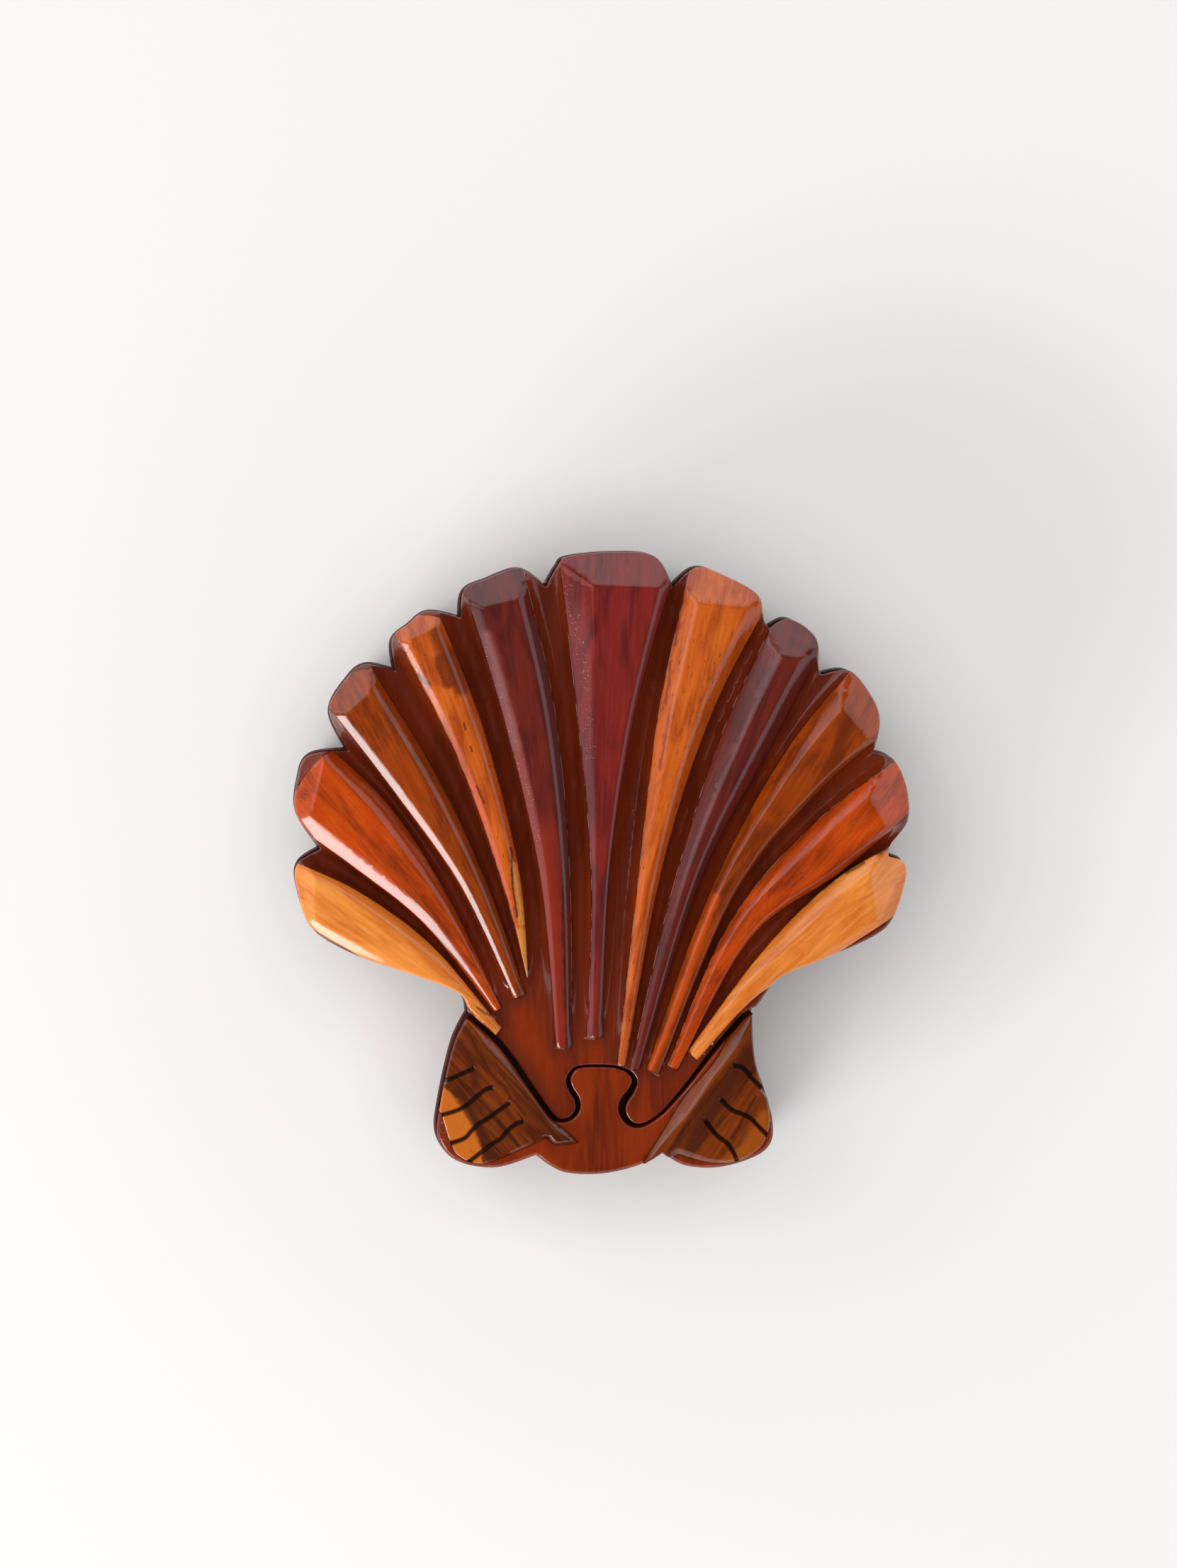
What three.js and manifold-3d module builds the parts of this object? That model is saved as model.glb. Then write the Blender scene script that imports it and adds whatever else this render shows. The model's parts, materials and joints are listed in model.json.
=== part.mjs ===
// A wooden keepsake box in the shape of a scallop shell, in millimetres, +Z up, seen from above with the
// fan's rim towards +Y. A hollow body stands on the ground. A fan-shaped lid and a tail piece, the key, lie
// on it and lock together in plan like two jigsaw pieces. Eleven ribs of different woods are let into the
// lid, with gouged grooves between them, and two ears of striped wood are let into the key.
import * as THREE from "three";
import { mergeVertices } from "three/addons/utils/BufferGeometryUtils.js";
import Module from "manifold-3d";

const wasm = await Module();
wasm.setup();

// Driving sizes of the whole box.
const SHELL_WIDTH = 130;
const BODY_HEIGHT = 28;
const LID_THICKNESS = 12;

// The body and its cavity.
const FLOOR_THICKNESS = 6;
const WALL_THICKNESS = 11;
const BODY_MARGIN = 0.9;
const BODY_SHIFT = [-0.6, 0.2];
const BASE_CHAMFER = 1.2;
const CAVITY_SHIFT = 11.7;
const LIP_DEPTH = 2.5;
const LIP_CLEARANCE = 0.6;

// The saw cut between lid and key, and the inlays.
const KERF = 1.1;
const INLAY_DEPTH = 4;
const GLUE_GAP = 0.2;

// Heights over the flat top of the lid.
const CREST_HEIGHT = 3.8;
const ROOT_HEIGHT = 1.2;
const FOOT_HEIGHT = 0.3;
const GROOVE_DEPTH = 3.2;
const RIM_DROP = 2.5;
const RIM_BEVEL = 8.7;

// How crests and grooves run out towards the umbo: the shares of a rib's length that each takes, the power
// that shapes a groove's depth along it, the height its end is raised by, and the power that rounds its
// section.
const CREST_SHARE = 0.6;
const GROOVE_SHARE = 0.55;
const GROOVE_FADE = 0.8;
const GROOVE_LIFT = 0.1;
const GROOVE_ROUND = 0.7;

// The ears and the lines cut into them.
const EAR_CREST = 2.4;
const EAR_BEVEL = 2;
const EAR_FALL = 0.12;
const CUT_WIDTH = 1.4;
const CUT_DEPTH = 1;

// How finely round forms are divided.
const OUTLINE_STEP = 2.2;
const RIB_STEPS = 9;
const GROOVE_SIDES = 6;
const CAVITY_SIDES = 48;
const RIM_SIDES = 72;
const CUT_STEPS = 7;

const SPARE = 5;
const lidTop = BODY_HEIGHT + LID_THICKNESS;
const inlayFloor = lidTop - INLAY_DEPTH;

// The carved forms are free hand work, so their points are shares of the shell's width: hundredths of it
// from the middle of the fan, x to the right and y towards the rim. Each run of the outline is smooth, and
// the runs meet in corners.
const OUTLINE_RUNS = [
  [[-9.3, 45.1], [-7.2, 48.7], [-5.6, 50.1], [1.6, 50.8], [8.5, 50.1], [11.4, 45]],
  [[11.4, 45], [15.3, 48.3], [19.6, 47.1], [25.1, 43.9], [26.3, 39.9], [27.2, 38.3]],
  [[27.2, 38.3], [30.5, 39.9], [34.7, 36.9], [35.3, 31.8], [35.8, 30.8]],
  [[35.8, 30.8], [40.2, 31.4], [43.3, 28.3], [45.3, 23.8], [44.3, 18.1]],
  [[44.3, 18.1], [47.6, 16.9], [49.8, 12.4], [49.9, 6.9], [46.9, 2.9], [46.6, 1.1]],
  [
    [46.6, 1.1], [49.4, -0.1], [49.3, -3.8], [46.1, -10.6],
    [36.9, -15.2], [29.1, -18.4], [25.6, -22.6], [24.3, -24.8],
  ],
  [[24.3, -24.8], [24.9, -32.5], [27.7, -41.8], [26.6, -46.8], [19.9, -49.5], [13.6, -49.4], [9.7, -47.2]],
  [[9.7, -47.2], [5.7, -49.4], [-0.1, -50.7], [-5.6, -50.6], [-8.4, -49.5], [-10.9, -47.7]],
  [
    [-10.9, -47.7], [-17.6, -49.7], [-24, -48.5], [-26.9, -44.8],
    [-26.4, -38.9], [-24.3, -29.8], [-21.9, -24.8],
  ],
  [
    [-21.9, -24.8], [-23.3, -21.2], [-31, -18.1], [-40.3, -14.9],
    [-47.3, -10.6], [-49.9, -4], [-49.8, -0.2], [-46.1, 2.3],
  ],
  [[-46.1, 2.3], [-50, 8.3], [-49.8, 13.8], [-48, 17.5], [-41.6, 18.4]],
  [[-41.6, 18.4], [-44.6, 24.9], [-41.7, 30.3], [-38.8, 32.4], [-33.9, 31.4]],
  [[-33.9, 31.4], [-34.4, 36.4], [-31.8, 38.9], [-28.6, 41.1], [-23.2, 40.1]],
  [[-23.2, 40.1], [-22.6, 44.6], [-19, 46.4], [-13.6, 48.1], [-9.3, 45.1]],
];

// The saw cut, from the left waist round the key's tab to the right waist. The third number widens or
// narrows the kerf there.
const SAW_LINE = [
  [-24.2, -22.9, 1], [-21.8, -24.9, 1.1], [-18.2, -28, 1.15], [-15, -31.7, 1.15], [-11.8, -36.4, 1.1],
  [-9, -40.4, 1], [-7.8, -41.7, 0.9], [-6.6, -42.1, 0.75], [-5.1, -41.6, 0.75], [-4.1, -40.2, 0.9],
  [-4.2, -38.6, 1], [-5.2, -36.9, 1], [-5.6, -35.3, 0.85], [-4.7, -33.7, 0.6], [-3.2, -33.2, 0.5],
  [-0.6, -33.1, 0.5], [2.3, -33.3, 0.5], [4.4, -34.2, 0.75], [5.2, -35.6, 1], [4.6, -37.2, 1.25],
  [3.4, -39, 1.4], [3.2, -40.6, 1.35], [4.2, -42.3, 1.1], [5.9, -42.9, 0.8], [8.1, -42, 0.6],
  [10.5, -40, 0.6], [14.1, -35.8, 0.8], [17.7, -31.1, 0.95], [21.1, -27, 1.1], [23.3, -24.7, 1.05],
  [26, -23.4, 1],
];

// Each rib runs from its tip at the rim to its root at the umbo. Its edges pass through four points each.
// crest and shoulder are the shares of its width that the left and right facets take, at tip and root,
// and fall is how much lower the right side of its top lies, as a share of the crest's height.
const RIBS = [
  {
    name: "rib_left_5", colour: 0xe09244, bulge: 2, crest: [0.14, 0.4], shoulder: [0.07, 0.3], fall: 0,
    left: [[-52.3, -7.8], [-37, -16.5], [-24.3, -21.3], [-18.3, -29.2]],
    right: [[-51.5, 0.8], [-39.9, -4.5], [-27.8, -13.4], [-16.5, -26.8]],
  },
  {
    name: "rib_left_4", colour: 0xb84a12, bulge: 1.5, crest: [0.15, 0.5], shoulder: [0.15, 0.45], fall: 0,
    left: [[-51.6, 7], [-40.5, -0.8], [-29, -10.1], [-17.7, -24.4]],
    right: [[-44, 18.4], [-34.7, 9.4], [-25.5, -4.7], [-16.5, -23.5]],
  },
  {
    name: "rib_left_3", colour: 0x965014, bulge: 1.5, crest: [0.2, 0.45], shoulder: [0.2, 0.45], fall: 0,
    left: [[-45.4, 26.3], [-33.6, 11], [-23.2, -3.8], [-14.5, -22.1]],
    right: [[-37.6, 31.8], [-26.6, 13.6], [-18.6, -3.8], [-12.5, -21.4]],
  },
  {
    name: "rib_left_2", colour: 0xc8702a, bulge: 1.3, crest: [0.22, 0.45], shoulder: [0.2, 0.45], fall: 0,
    left: [[-34.4, 38.4], [-23.4, 17.1], [-16, -4.3], [-12.3, -18.7]],
    right: [[-26.3, 39.9], [-19.5, 22.3], [-13.6, -0.9], [-12.1, -18.3]],
  },
  {
    name: "rib_left_1", colour: 0x5e2620, bulge: 1, crest: [0.14, 0.4], shoulder: [0.18, 0.4], fall: 0,
    left: [[-23.2, 46.5], [-16, 22.8], [-10.2, -2.6], [-7.6, -30.1]],
    right: [[-13.2, 49.2], [-7.8, 25.1], [-5.3, -2], [-5, -30.1]],
  },
  {
    name: "rib_centre", colour: 0x84282c, bulge: 0.5, crest: [0.3, 0.46], shoulder: [0.16, 0.46], fall: 0,
    left: [[-7.3, 51.2], [-4.3, 25.1], [-1.9, -1.4], [-2.5, -28.4]],
    right: [[12.9, 51.2], [5.5, 25.1], [1.2, -1.4], [0.1, -28.4]],
  },
  {
    name: "rib_right_1", colour: 0xd2732c, bulge: 0.5, crest: [0.28, 0.45], shoulder: [0.2, 0.45], fall: 0.1,
    left: [[14.7, 50], [9.2, 25.1], [6.1, 0.3], [2.4, -33]],
    right: [[28.6, 45], [18.2, 25.1], [9.8, -0.5], [3.8, -33]],
  },
  {
    name: "rib_right_2", colour: 0x6a2a2c, bulge: 0.5, crest: [0.46, 0.5], shoulder: [0.28, 0.4], fall: 0,
    left: [[28.8, 41.3], [19.4, 21.1], [11.3, -4.3], [4.5, -33.6]],
    right: [[37.5, 38.1], [27.7, 19.4], [16.1, -2.6], [6.1, -33.6]],
  },
  {
    name: "rib_right_3", colour: 0xa0581a, bulge: 0.5, crest: [0.26, 0.4], shoulder: [0.1, 0.2], fall: 0.5,
    left: [[41.8, 33], [29.4, 17.6], [17.3, -5.1], [7.1, -33.6]],
    right: [[47, 22], [34.6, 11], [21.3, -5.5], [9.2, -34.4]],
  },
  {
    name: "rib_right_4", colour: 0xb0430e, bulge: 0.5, crest: [0.26, 0.36], shoulder: [0.1, 0.2], fall: 0.5,
    left: [[50.2, 18.4], [34.6, 6.6], [20.8, -9.5], [10.6, -32.9]],
    right: [[52, 9.8], [39.2, -1.2], [24.2, -12.1], [12.2, -33.8]],
  },
  {
    name: "rib_right_5", colour: 0xe09848, bulge: 0.5, crest: [0.18, 0.36], shoulder: [0.1, 0.2], fall: 0.4,
    left: [[50.8, 4.7], [38.1, -2.5], [26, -14.4], [13.9, -30.6]],
    right: [[52, -5.8], [36.9, -15.5], [25.6, -21.3], [15.4, -32.2]],
  },
];

// Each ear: the runs of its outline, which pass over the shell's edge and the kerf where it is cut flush,
// the straight line that its inner bevel follows, and the wavy lines cut across it.
const EARS = [
  {
    name: "ear_left", colour: 0x8a4a16, line: [[-21.9, -24.9], [-4, -45.6]], side: -1,
    runs: [
      [[-22, -23.4], [-16, -29.7], [-11.5, -36.4], [-9.2, -40.3], [-7.3, -42.6], [-4, -45.6]],
      [[-4, -45.6], [-7.6, -46], [-9.1, -44.7]],
      [[-9.1, -44.7], [-12.8, -46.5], [-19.5, -49], [-23.2, -47.9], [-24.8, -45.6], [-26.4, -40.7]],
      [[-26.4, -40.7], [-29, -38], [-29, -30.3], [-22, -23.4]],
    ],
    cuts: [
      [[-28.5, -36.8], [-26.5, -35.9], [-23.2, -34.4], [-21, -33.4]],
      [[-28.5, -41.7], [-24, -40.4], [-22, -39.3], [-20.2, -37.7], [-19, -36.8], [-18, -36.5]],
      [[-27, -46.4], [-22.8, -45], [-21.4, -43.7], [-20.1, -42.4], [-18.6, -41.5], [-15.2, -39]],
      [[-23.6, -50.2], [-18.2, -45.9], [-16.6, -44.9], [-15.4, -43.5], [-14.2, -42.5], [-13, -42]],
    ],
  },
  {
    name: "ear_right", colour: 0x8a4a16, line: [[23.3, -25.5], [6.6, -48.7]], side: 1,
    runs: [
      [[22, -24.6], [18.5, -32], [13.5, -37.9], [10, -43.5], [6.6, -48.8]],
      [[6.6, -48.8], [8, -50], [10.3, -48], [12.3, -47.5]],
      [[12.3, -47.5], [17.3, -48.8], [21.9, -48.6], [25.6, -46.5], [27.2, -43.1], [27.2, -39.6]],
      [[27.2, -39.6], [30, -37.3], [28.8, -25.7], [22, -24.6]],
    ],
    cuts: [
      [[21.4, -32.9], [22.7, -33.2], [23.7, -34.2], [24.7, -35.4], [27.7, -38.6]],
      [[19.4, -38.5], [20.3, -39.5], [21.3, -40.3], [23.1, -41], [24.3, -41.7], [25.5, -43], [29, -46.5]],
      [[16.8, -42], [18.7, -44.4], [20.1, -45.4], [20.9, -46.4], [21.7, -47.9], [22.5, -50.5]],
    ],
  },
];

const MAHOGANY = 0x6e2a14;
const DARK_WOOD = 0x3e1c18;

const mix = THREE.MathUtils.lerp;
const shared = (value) => (value * SHELL_WIDTH) / 100;
const plan = ([x, y]) => new THREE.Vector2(shared(x), shared(y));
const raise = (point, z) => new THREE.Vector3(point.x, point.y, z);

// Solids and meshes.

function solidFrom(geometry) {
  geometry.deleteAttribute("normal");
  geometry.deleteAttribute("uv");
  const merged = mergeVertices(geometry, 1e-4);
  const triVerts = new Uint32Array(merged.index.array);
  const vertProperties = new Float32Array(merged.attributes.position.array);
  return new wasm.Manifold(new wasm.Mesh({ numProp: 3, vertProperties, triVerts }));
}

function meshFrom(solid, name, colour) {
  const made = solid.getMesh();
  const geometry = new THREE.BufferGeometry();
  geometry.setAttribute("position", new THREE.BufferAttribute(made.vertProperties, 3));
  geometry.setIndex(new THREE.BufferAttribute(made.triVerts, 1));
  geometry.computeVertexNormals();
  const material = new THREE.MeshStandardMaterial({ color: colour, roughness: 0.25, metalness: 0 });
  const mesh = new THREE.Mesh(geometry, material);
  mesh.name = name;
  return mesh;
}

// An upright solid over a closed outline.
function prism(outline, low, high) {
  const geometry = new THREE.ExtrudeGeometry(new THREE.Shape(outline), {
    depth: high - low,
    bevelEnabled: false,
  });
  geometry.translate(0, 0, low);
  return solidFrom(geometry);
}

// A closed solid through rows of points, each row a closed loop. ends lists the triangles of an end face.
function loft(rows, ends) {
  const size = rows[0].length;
  const last = (rows.length - 1) * size;
  const faces = [];
  for (let row = 0; row < rows.length - 1; row++) {
    for (let i = 0; i < size; i++) {
      const a = row * size + i;
      const b = row * size + ((i + 1) % size);
      faces.push([a, b, b + size], [a, b + size, a + size]);
    }
  }
  for (const [a, b, c] of ends) faces.push([a, c, b], [last + a, last + b, last + c]);
  const points = rows.flat();
  const volume = faces.reduce(
    (sum, [a, b, c]) => sum + points[a].dot(points[b].clone().cross(points[c])),
    0,
  );
  const outward = volume > 0 ? faces : faces.map(([a, b, c]) => [a, c, b]);
  const geometry = new THREE.BufferGeometry().setFromPoints(points);
  geometry.setIndex(outward.flat());
  return solidFrom(geometry);
}

// The end triangles of a convex loop, and those of any flat loop, which turn the way the loop turns.
const fan = (size) => Array.from({ length: size - 2 }, (_, i) => [0, i + 1, i + 2]);

function endFaces(loop) {
  const flip = THREE.ShapeUtils.area(loop) < 0;
  const faces = THREE.ShapeUtils.triangulateShape(loop, []);
  return faces.map(([a, b, c]) => (flip ? [a, c, b] : [a, b, c]));
}

// Outlines.

// A smooth run through its points, without its last point, which starts the next run.
function smoothRun(points, step) {
  const curve = new THREE.SplineCurve(points);
  const count = Math.max(2, Math.ceil(curve.getLength() / step));
  return Array.from({ length: count }, (_, i) => curve.getPoint(i / count));
}

const closedOutline = (runs) => runs.flatMap((run) => smoothRun(run.map(plan), OUTLINE_STEP));

// The normal at each corner of an outline, pointing out of it, longer where the outline turns.
function cornerNormals(outline) {
  const turn = THREE.ShapeUtils.area(outline) > 0 ? 1 : -1;
  const sharpest = 1.5;
  return outline.map((point, i) => {
    const before = outline[(i + outline.length - 1) % outline.length];
    const after = outline[(i + 1) % outline.length];
    const first = point.clone().sub(before).normalize();
    const second = after.clone().sub(point).normalize();
    const along = first.clone().add(second).normalize();
    const stretch = Math.min(sharpest, 1 / Math.max(0.1, along.dot(second)));
    return new THREE.Vector2(along.y, -along.x).multiplyScalar(turn * stretch);
  });
}

function grow(outline, margin) {
  const normals = cornerNormals(outline);
  return outline.map((point, i) => point.clone().addScaledVector(normals[i], margin));
}

const shellOutline = closedOutline(OUTLINE_RUNS);

// How far the rim reaches from the middle of the fan, and how near the valleys between its lobes come.
const rimRadius = Math.max(...shellOutline.map((point) => point.length()));
const valleyRadius = Math.min(
  ...OUTLINE_RUNS.map(([start]) => plan(start)).filter(({ y }) => y > 0).map((point) => point.length()),
);

// The region on the key's side of the saw line, with its edge moved by half a kerf: up for side 1, which
// leaves the lid, and down for side -1, which gives the key.
function keyRegion(side) {
  const centre = new THREE.SplineCurve(SAW_LINE.map(plan));
  const widths = new THREE.SplineCurve(SAW_LINE.map(([, , width]) => new THREE.Vector2(width, 0)));
  const count = 3 * (SAW_LINE.length - 1);
  const edge = Array.from({ length: count + 1 }, (_, i) => {
    const along = centre.getTangent(i / count);
    const half = (side * KERF * widths.getPoint(i / count).x) / 2;
    return centre.getPoint(i / count).add(new THREE.Vector2(-along.y, along.x).multiplyScalar(half));
  });
  const far = SHELL_WIDTH;
  const right = edge[edge.length - 1];
  const left = edge[0];
  const round = [
    new THREE.Vector2(far, right.y + SPARE),
    new THREE.Vector2(far, -far),
    new THREE.Vector2(-far, -far),
    new THREE.Vector2(-far, left.y + SPARE),
  ];
  return [...edge, ...round];
}

const upTo = lidTop + CREST_HEIGHT + SPARE;
const lidBlank = prism(shellOutline, BODY_HEIGHT, upTo).subtract(
  prism(keyRegion(1), BODY_HEIGHT - SPARE, upTo + SPARE),
);
const keyBlank = prism(shellOutline, BODY_HEIGHT, upTo).intersect(
  prism(keyRegion(-1), BODY_HEIGHT - SPARE, upTo + SPARE),
);

// Everything above a level.
function above(level) {
  const block = new THREE.BoxGeometry(3 * SHELL_WIDTH, 3 * SHELL_WIDTH, 2 * LID_THICKNESS + upTo);
  block.translate(0, 0, level + LID_THICKNESS + upTo / 2);
  return solidFrom(block);
}

// The cavity is an ellipse that leaves the wall's thickness at the valleys of the rim.
function cavityOutline(inset) {
  const halfWidth = valleyRadius - WALL_THICKNESS - inset;
  const halfLength = halfWidth - CAVITY_SHIFT;
  const ellipse = new THREE.EllipseCurve(0, CAVITY_SHIFT, halfWidth, halfLength);
  return ellipse.getPoints(CAVITY_SIDES).slice(0, CAVITY_SIDES);
}

function makeBody() {
  const shift = new THREE.Vector2(...BODY_SHIFT);
  const around = (margin) => grow(shellOutline, margin).map((point) => point.add(shift));
  const full = around(BODY_MARGIN);
  const foot = around(BODY_MARGIN - BASE_CHAMFER);
  const rows = [
    foot.map((point) => raise(point, 0)),
    full.map((point) => raise(point, BASE_CHAMFER)),
    full.map((point) => raise(point, BODY_HEIGHT)),
  ];
  const block = loft(rows, endFaces(full));
  return block.subtract(prism(cavityOutline(0), FLOOR_THICKNESS, BODY_HEIGHT + SPARE));
}

// The ribs.

function ribEdges(rib) {
  return {
    left: new THREE.SplineCurve(rib.left.map(plan)),
    right: new THREE.SplineCurve(rib.right.map(plan)),
  };
}

// A point of a rib in plan: along runs from 0 at the tip to 1 at the root, across from its left edge to
// its right one. The tip's end bulges outwards.
function ribPoint(rib, edges, along, across) {
  const point = edges.left.getPoint(along).lerp(edges.right.getPoint(along), across);
  const outward = edges.left.getTangent(along).add(edges.right.getTangent(along)).normalize().negate();
  const nearTip = Math.max(0, 1 - along * RIB_STEPS);
  return point.addScaledVector(outward, shared(rib.bulge) * nearTip * 4 * across * (1 - across));
}

function ribFootprint(rib) {
  const edges = ribEdges(rib);
  const steps = Array.from({ length: RIB_STEPS + 1 }, (_, i) => i / RIB_STEPS);
  const leftSide = steps.map((along) => ribPoint(rib, edges, along, 0)).reverse();
  const tip = [0.25, 0.5, 0.75].map((across) => ribPoint(rib, edges, 0, across));
  const rightSide = steps.map((along) => ribPoint(rib, edges, along, 1));
  return [...leftSide, ...tip, ...rightSide];
}

// A rib's crest is highest over the outer part of the fan and sinks towards the root.
function crestHeight(along) {
  const risen = Math.sin((Math.min(1, (1 - along) / CREST_SHARE) * Math.PI) / 2);
  return mix(ROOT_HEIGHT, CREST_HEIGHT, risen);
}

function makeRib(rib) {
  const edges = ribEdges(rib);
  const rows = [];
  for (let i = 0; i <= RIB_STEPS; i++) {
    const along = i / RIB_STEPS;
    const crest = mix(rib.crest[0], rib.crest[1], along);
    const shoulder = 1 - mix(rib.shoulder[0], rib.shoulder[1], along);
    const height = crestHeight(along);
    const lower = mix(height, FOOT_HEIGHT, rib.fall * (1 - along));
    const at = (across, z) => raise(ribPoint(rib, edges, along, across), z);
    rows.push([
      at(0, inlayFloor),
      at(0, lidTop + FOOT_HEIGHT),
      at(crest, lidTop + height),
      at((crest + shoulder) / 2, lidTop + (height + lower) / 2),
      at(shoulder, lidTop + lower),
      at(1, lidTop + FOOT_HEIGHT),
      at(1, inlayFloor),
    ]);
  }
  return loft(rows, fan(rows[0].length)).intersect(lidBlank).subtract(rimBevel());
}

// What is planed off the rim: a cone that falls from the crests to below the lid's flat top, and on past
// the shell's edge.
function rimBevel() {
  const slope = (CREST_HEIGHT + RIM_DROP) / RIM_BEVEL;
  const reach = RIM_BEVEL + SPARE;
  const inner = new THREE.Vector2(rimRadius - reach, lidTop - RIM_DROP + slope * reach);
  const outer = new THREE.Vector2(rimRadius + SPARE, lidTop - RIM_DROP - slope * SPARE);
  const top = new THREE.Vector2(outer.x, inner.y);
  const ring = new THREE.LatheGeometry([outer, top, inner, outer], RIM_SIDES);
  ring.rotateX(Math.PI / 2);
  return solidFrom(ring);
}

// The grooves between neighbouring ribs: round in section, deepest at the rim, running out at the roots.
function makeGroove(leftRib, rightRib) {
  const from = ribEdges(leftRib).right;
  const to = ribEdges(rightRib).left;
  const rows = [];
  for (let i = 0; i <= RIB_STEPS; i++) {
    const along = i / RIB_STEPS;
    const depth = GROOVE_DEPTH * Math.min(1, (1 - along) / GROOVE_SHARE) ** GROOVE_FADE - GROOVE_LIFT * along;
    const row = [];
    for (let side = 0; side <= GROOVE_SIDES; side++) {
      const across = side / GROOVE_SIDES;
      const point = from.getPoint(along).lerp(to.getPoint(along), across);
      row.push(raise(point, lidTop - depth * Math.sin(Math.PI * across) ** GROOVE_ROUND));
    }
    row.push(raise(to.getPoint(along), lidTop + SPARE), raise(from.getPoint(along), lidTop + SPARE));
    rows.push(row);
  }
  return loft(rows, fan(rows[0].length));
}

function makeLid() {
  let lid = lidBlank.subtract(above(lidTop)).subtract(rimBevel());
  for (const rib of RIBS) {
    lid = lid.subtract(prism(grow(ribFootprint(rib), GLUE_GAP), inlayFloor, upTo));
  }
  RIBS.slice(1).forEach((rib, i) => {
    lid = lid.subtract(makeGroove(RIBS[i], rib));
  });
  return lid.add(prism(cavityOutline(LIP_CLEARANCE), BODY_HEIGHT - LIP_DEPTH, BODY_HEIGHT + 1));
}

// The ears.

// The height of an ear's top at a distance from its line: it rises steeply to the crest, then falls slowly.
function earHeight(distance) {
  if (distance > EAR_BEVEL) return EAR_CREST - EAR_FALL * (distance - EAR_BEVEL);
  return mix(FOOT_HEIGHT, EAR_CREST, Math.max(0, distance) / EAR_BEVEL);
}

function earFrame(ear) {
  const [start, end] = ear.line.map(plan);
  const along = end.clone().sub(start).normalize();
  const outward = new THREE.Vector2(-along.y, along.x).multiplyScalar(ear.side);
  const distance = (point) => point.clone().sub(start).dot(outward);
  return { start, along, outward, distance, length: start.distanceTo(end) };
}

// The space under an ear's top, as broad as the ear and longer than it on both sides.
function underEarTop(ear) {
  const { start, along, outward, distance: from, length } = earFrame(ear);
  const reach = Math.max(...closedOutline(ear.runs).map(from)) + SPARE;
  const profile = [
    [-SPARE, lidTop + FOOT_HEIGHT],
    [0, lidTop + FOOT_HEIGHT],
    [EAR_BEVEL, lidTop + EAR_CREST],
    [reach, lidTop + earHeight(reach)],
    [reach, inlayFloor],
    [-SPARE, inlayFloor],
  ];
  const rows = [-length, 2 * length].map((shift) =>
    profile.map(([distance, z]) =>
      raise(start.clone().addScaledVector(along, shift).addScaledVector(outward, distance), z),
    ),
  );
  return loft(rows, endFaces(profile.map(([distance, z]) => new THREE.Vector2(distance, z))));
}

// One line cut into an ear, V-shaped in section.
function makeCut(ear, points) {
  const frame = earFrame(ear);
  const curve = new THREE.SplineCurve(points.map(plan));
  const rows = [];
  for (let i = 0; i <= CUT_STEPS; i++) {
    const point = curve.getPoint(i / CUT_STEPS);
    const tangent = curve.getTangent(i / CUT_STEPS);
    const across = new THREE.Vector2(-tangent.y, tangent.x);
    const top = lidTop + earHeight(Math.max(EAR_BEVEL, frame.distance(point)));
    rows.push([
      raise(point.clone().addScaledVector(across, CUT_WIDTH), top + CUT_DEPTH),
      raise(point, top - CUT_DEPTH),
      raise(point.clone().addScaledVector(across, -CUT_WIDTH), top + CUT_DEPTH),
    ]);
  }
  return loft(rows, fan(3));
}

function makeEar(ear) {
  let made = prism(closedOutline(ear.runs), inlayFloor, upTo).intersect(keyBlank);
  made = made.intersect(underEarTop(ear));
  for (const points of ear.cuts) made = made.subtract(makeCut(ear, points));
  return made;
}

function makeKey() {
  let key = keyBlank.subtract(above(lidTop));
  for (const ear of EARS) {
    key = key.subtract(prism(grow(closedOutline(ear.runs), GLUE_GAP), inlayFloor, upTo));
  }
  return key;
}

// The whole box, with its origin on the ground under the middle of its bounding box.
const box = new THREE.Group();
box.add(meshFrom(makeBody(), "box_body", DARK_WOOD));
box.add(meshFrom(makeLid(), "shell_lid", MAHOGANY));
box.add(meshFrom(makeKey(), "key_piece", MAHOGANY));
for (const rib of RIBS) box.add(meshFrom(makeRib(rib), rib.name, rib.colour));
for (const ear of EARS) box.add(meshFrom(makeEar(ear), ear.name, ear.colour));

const bounds = new THREE.Box3().setFromObject(box);
const centre = bounds.getCenter(new THREE.Vector3());
box.position.set(-centre.x, -centre.y, -bounds.min.z);

export default box;
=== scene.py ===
import json
import math
from collections import namedtuple

import bpy
import numpy as np
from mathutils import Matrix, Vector, kdtree
from mathutils.geometry import delaunay_2d_cdt


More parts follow.
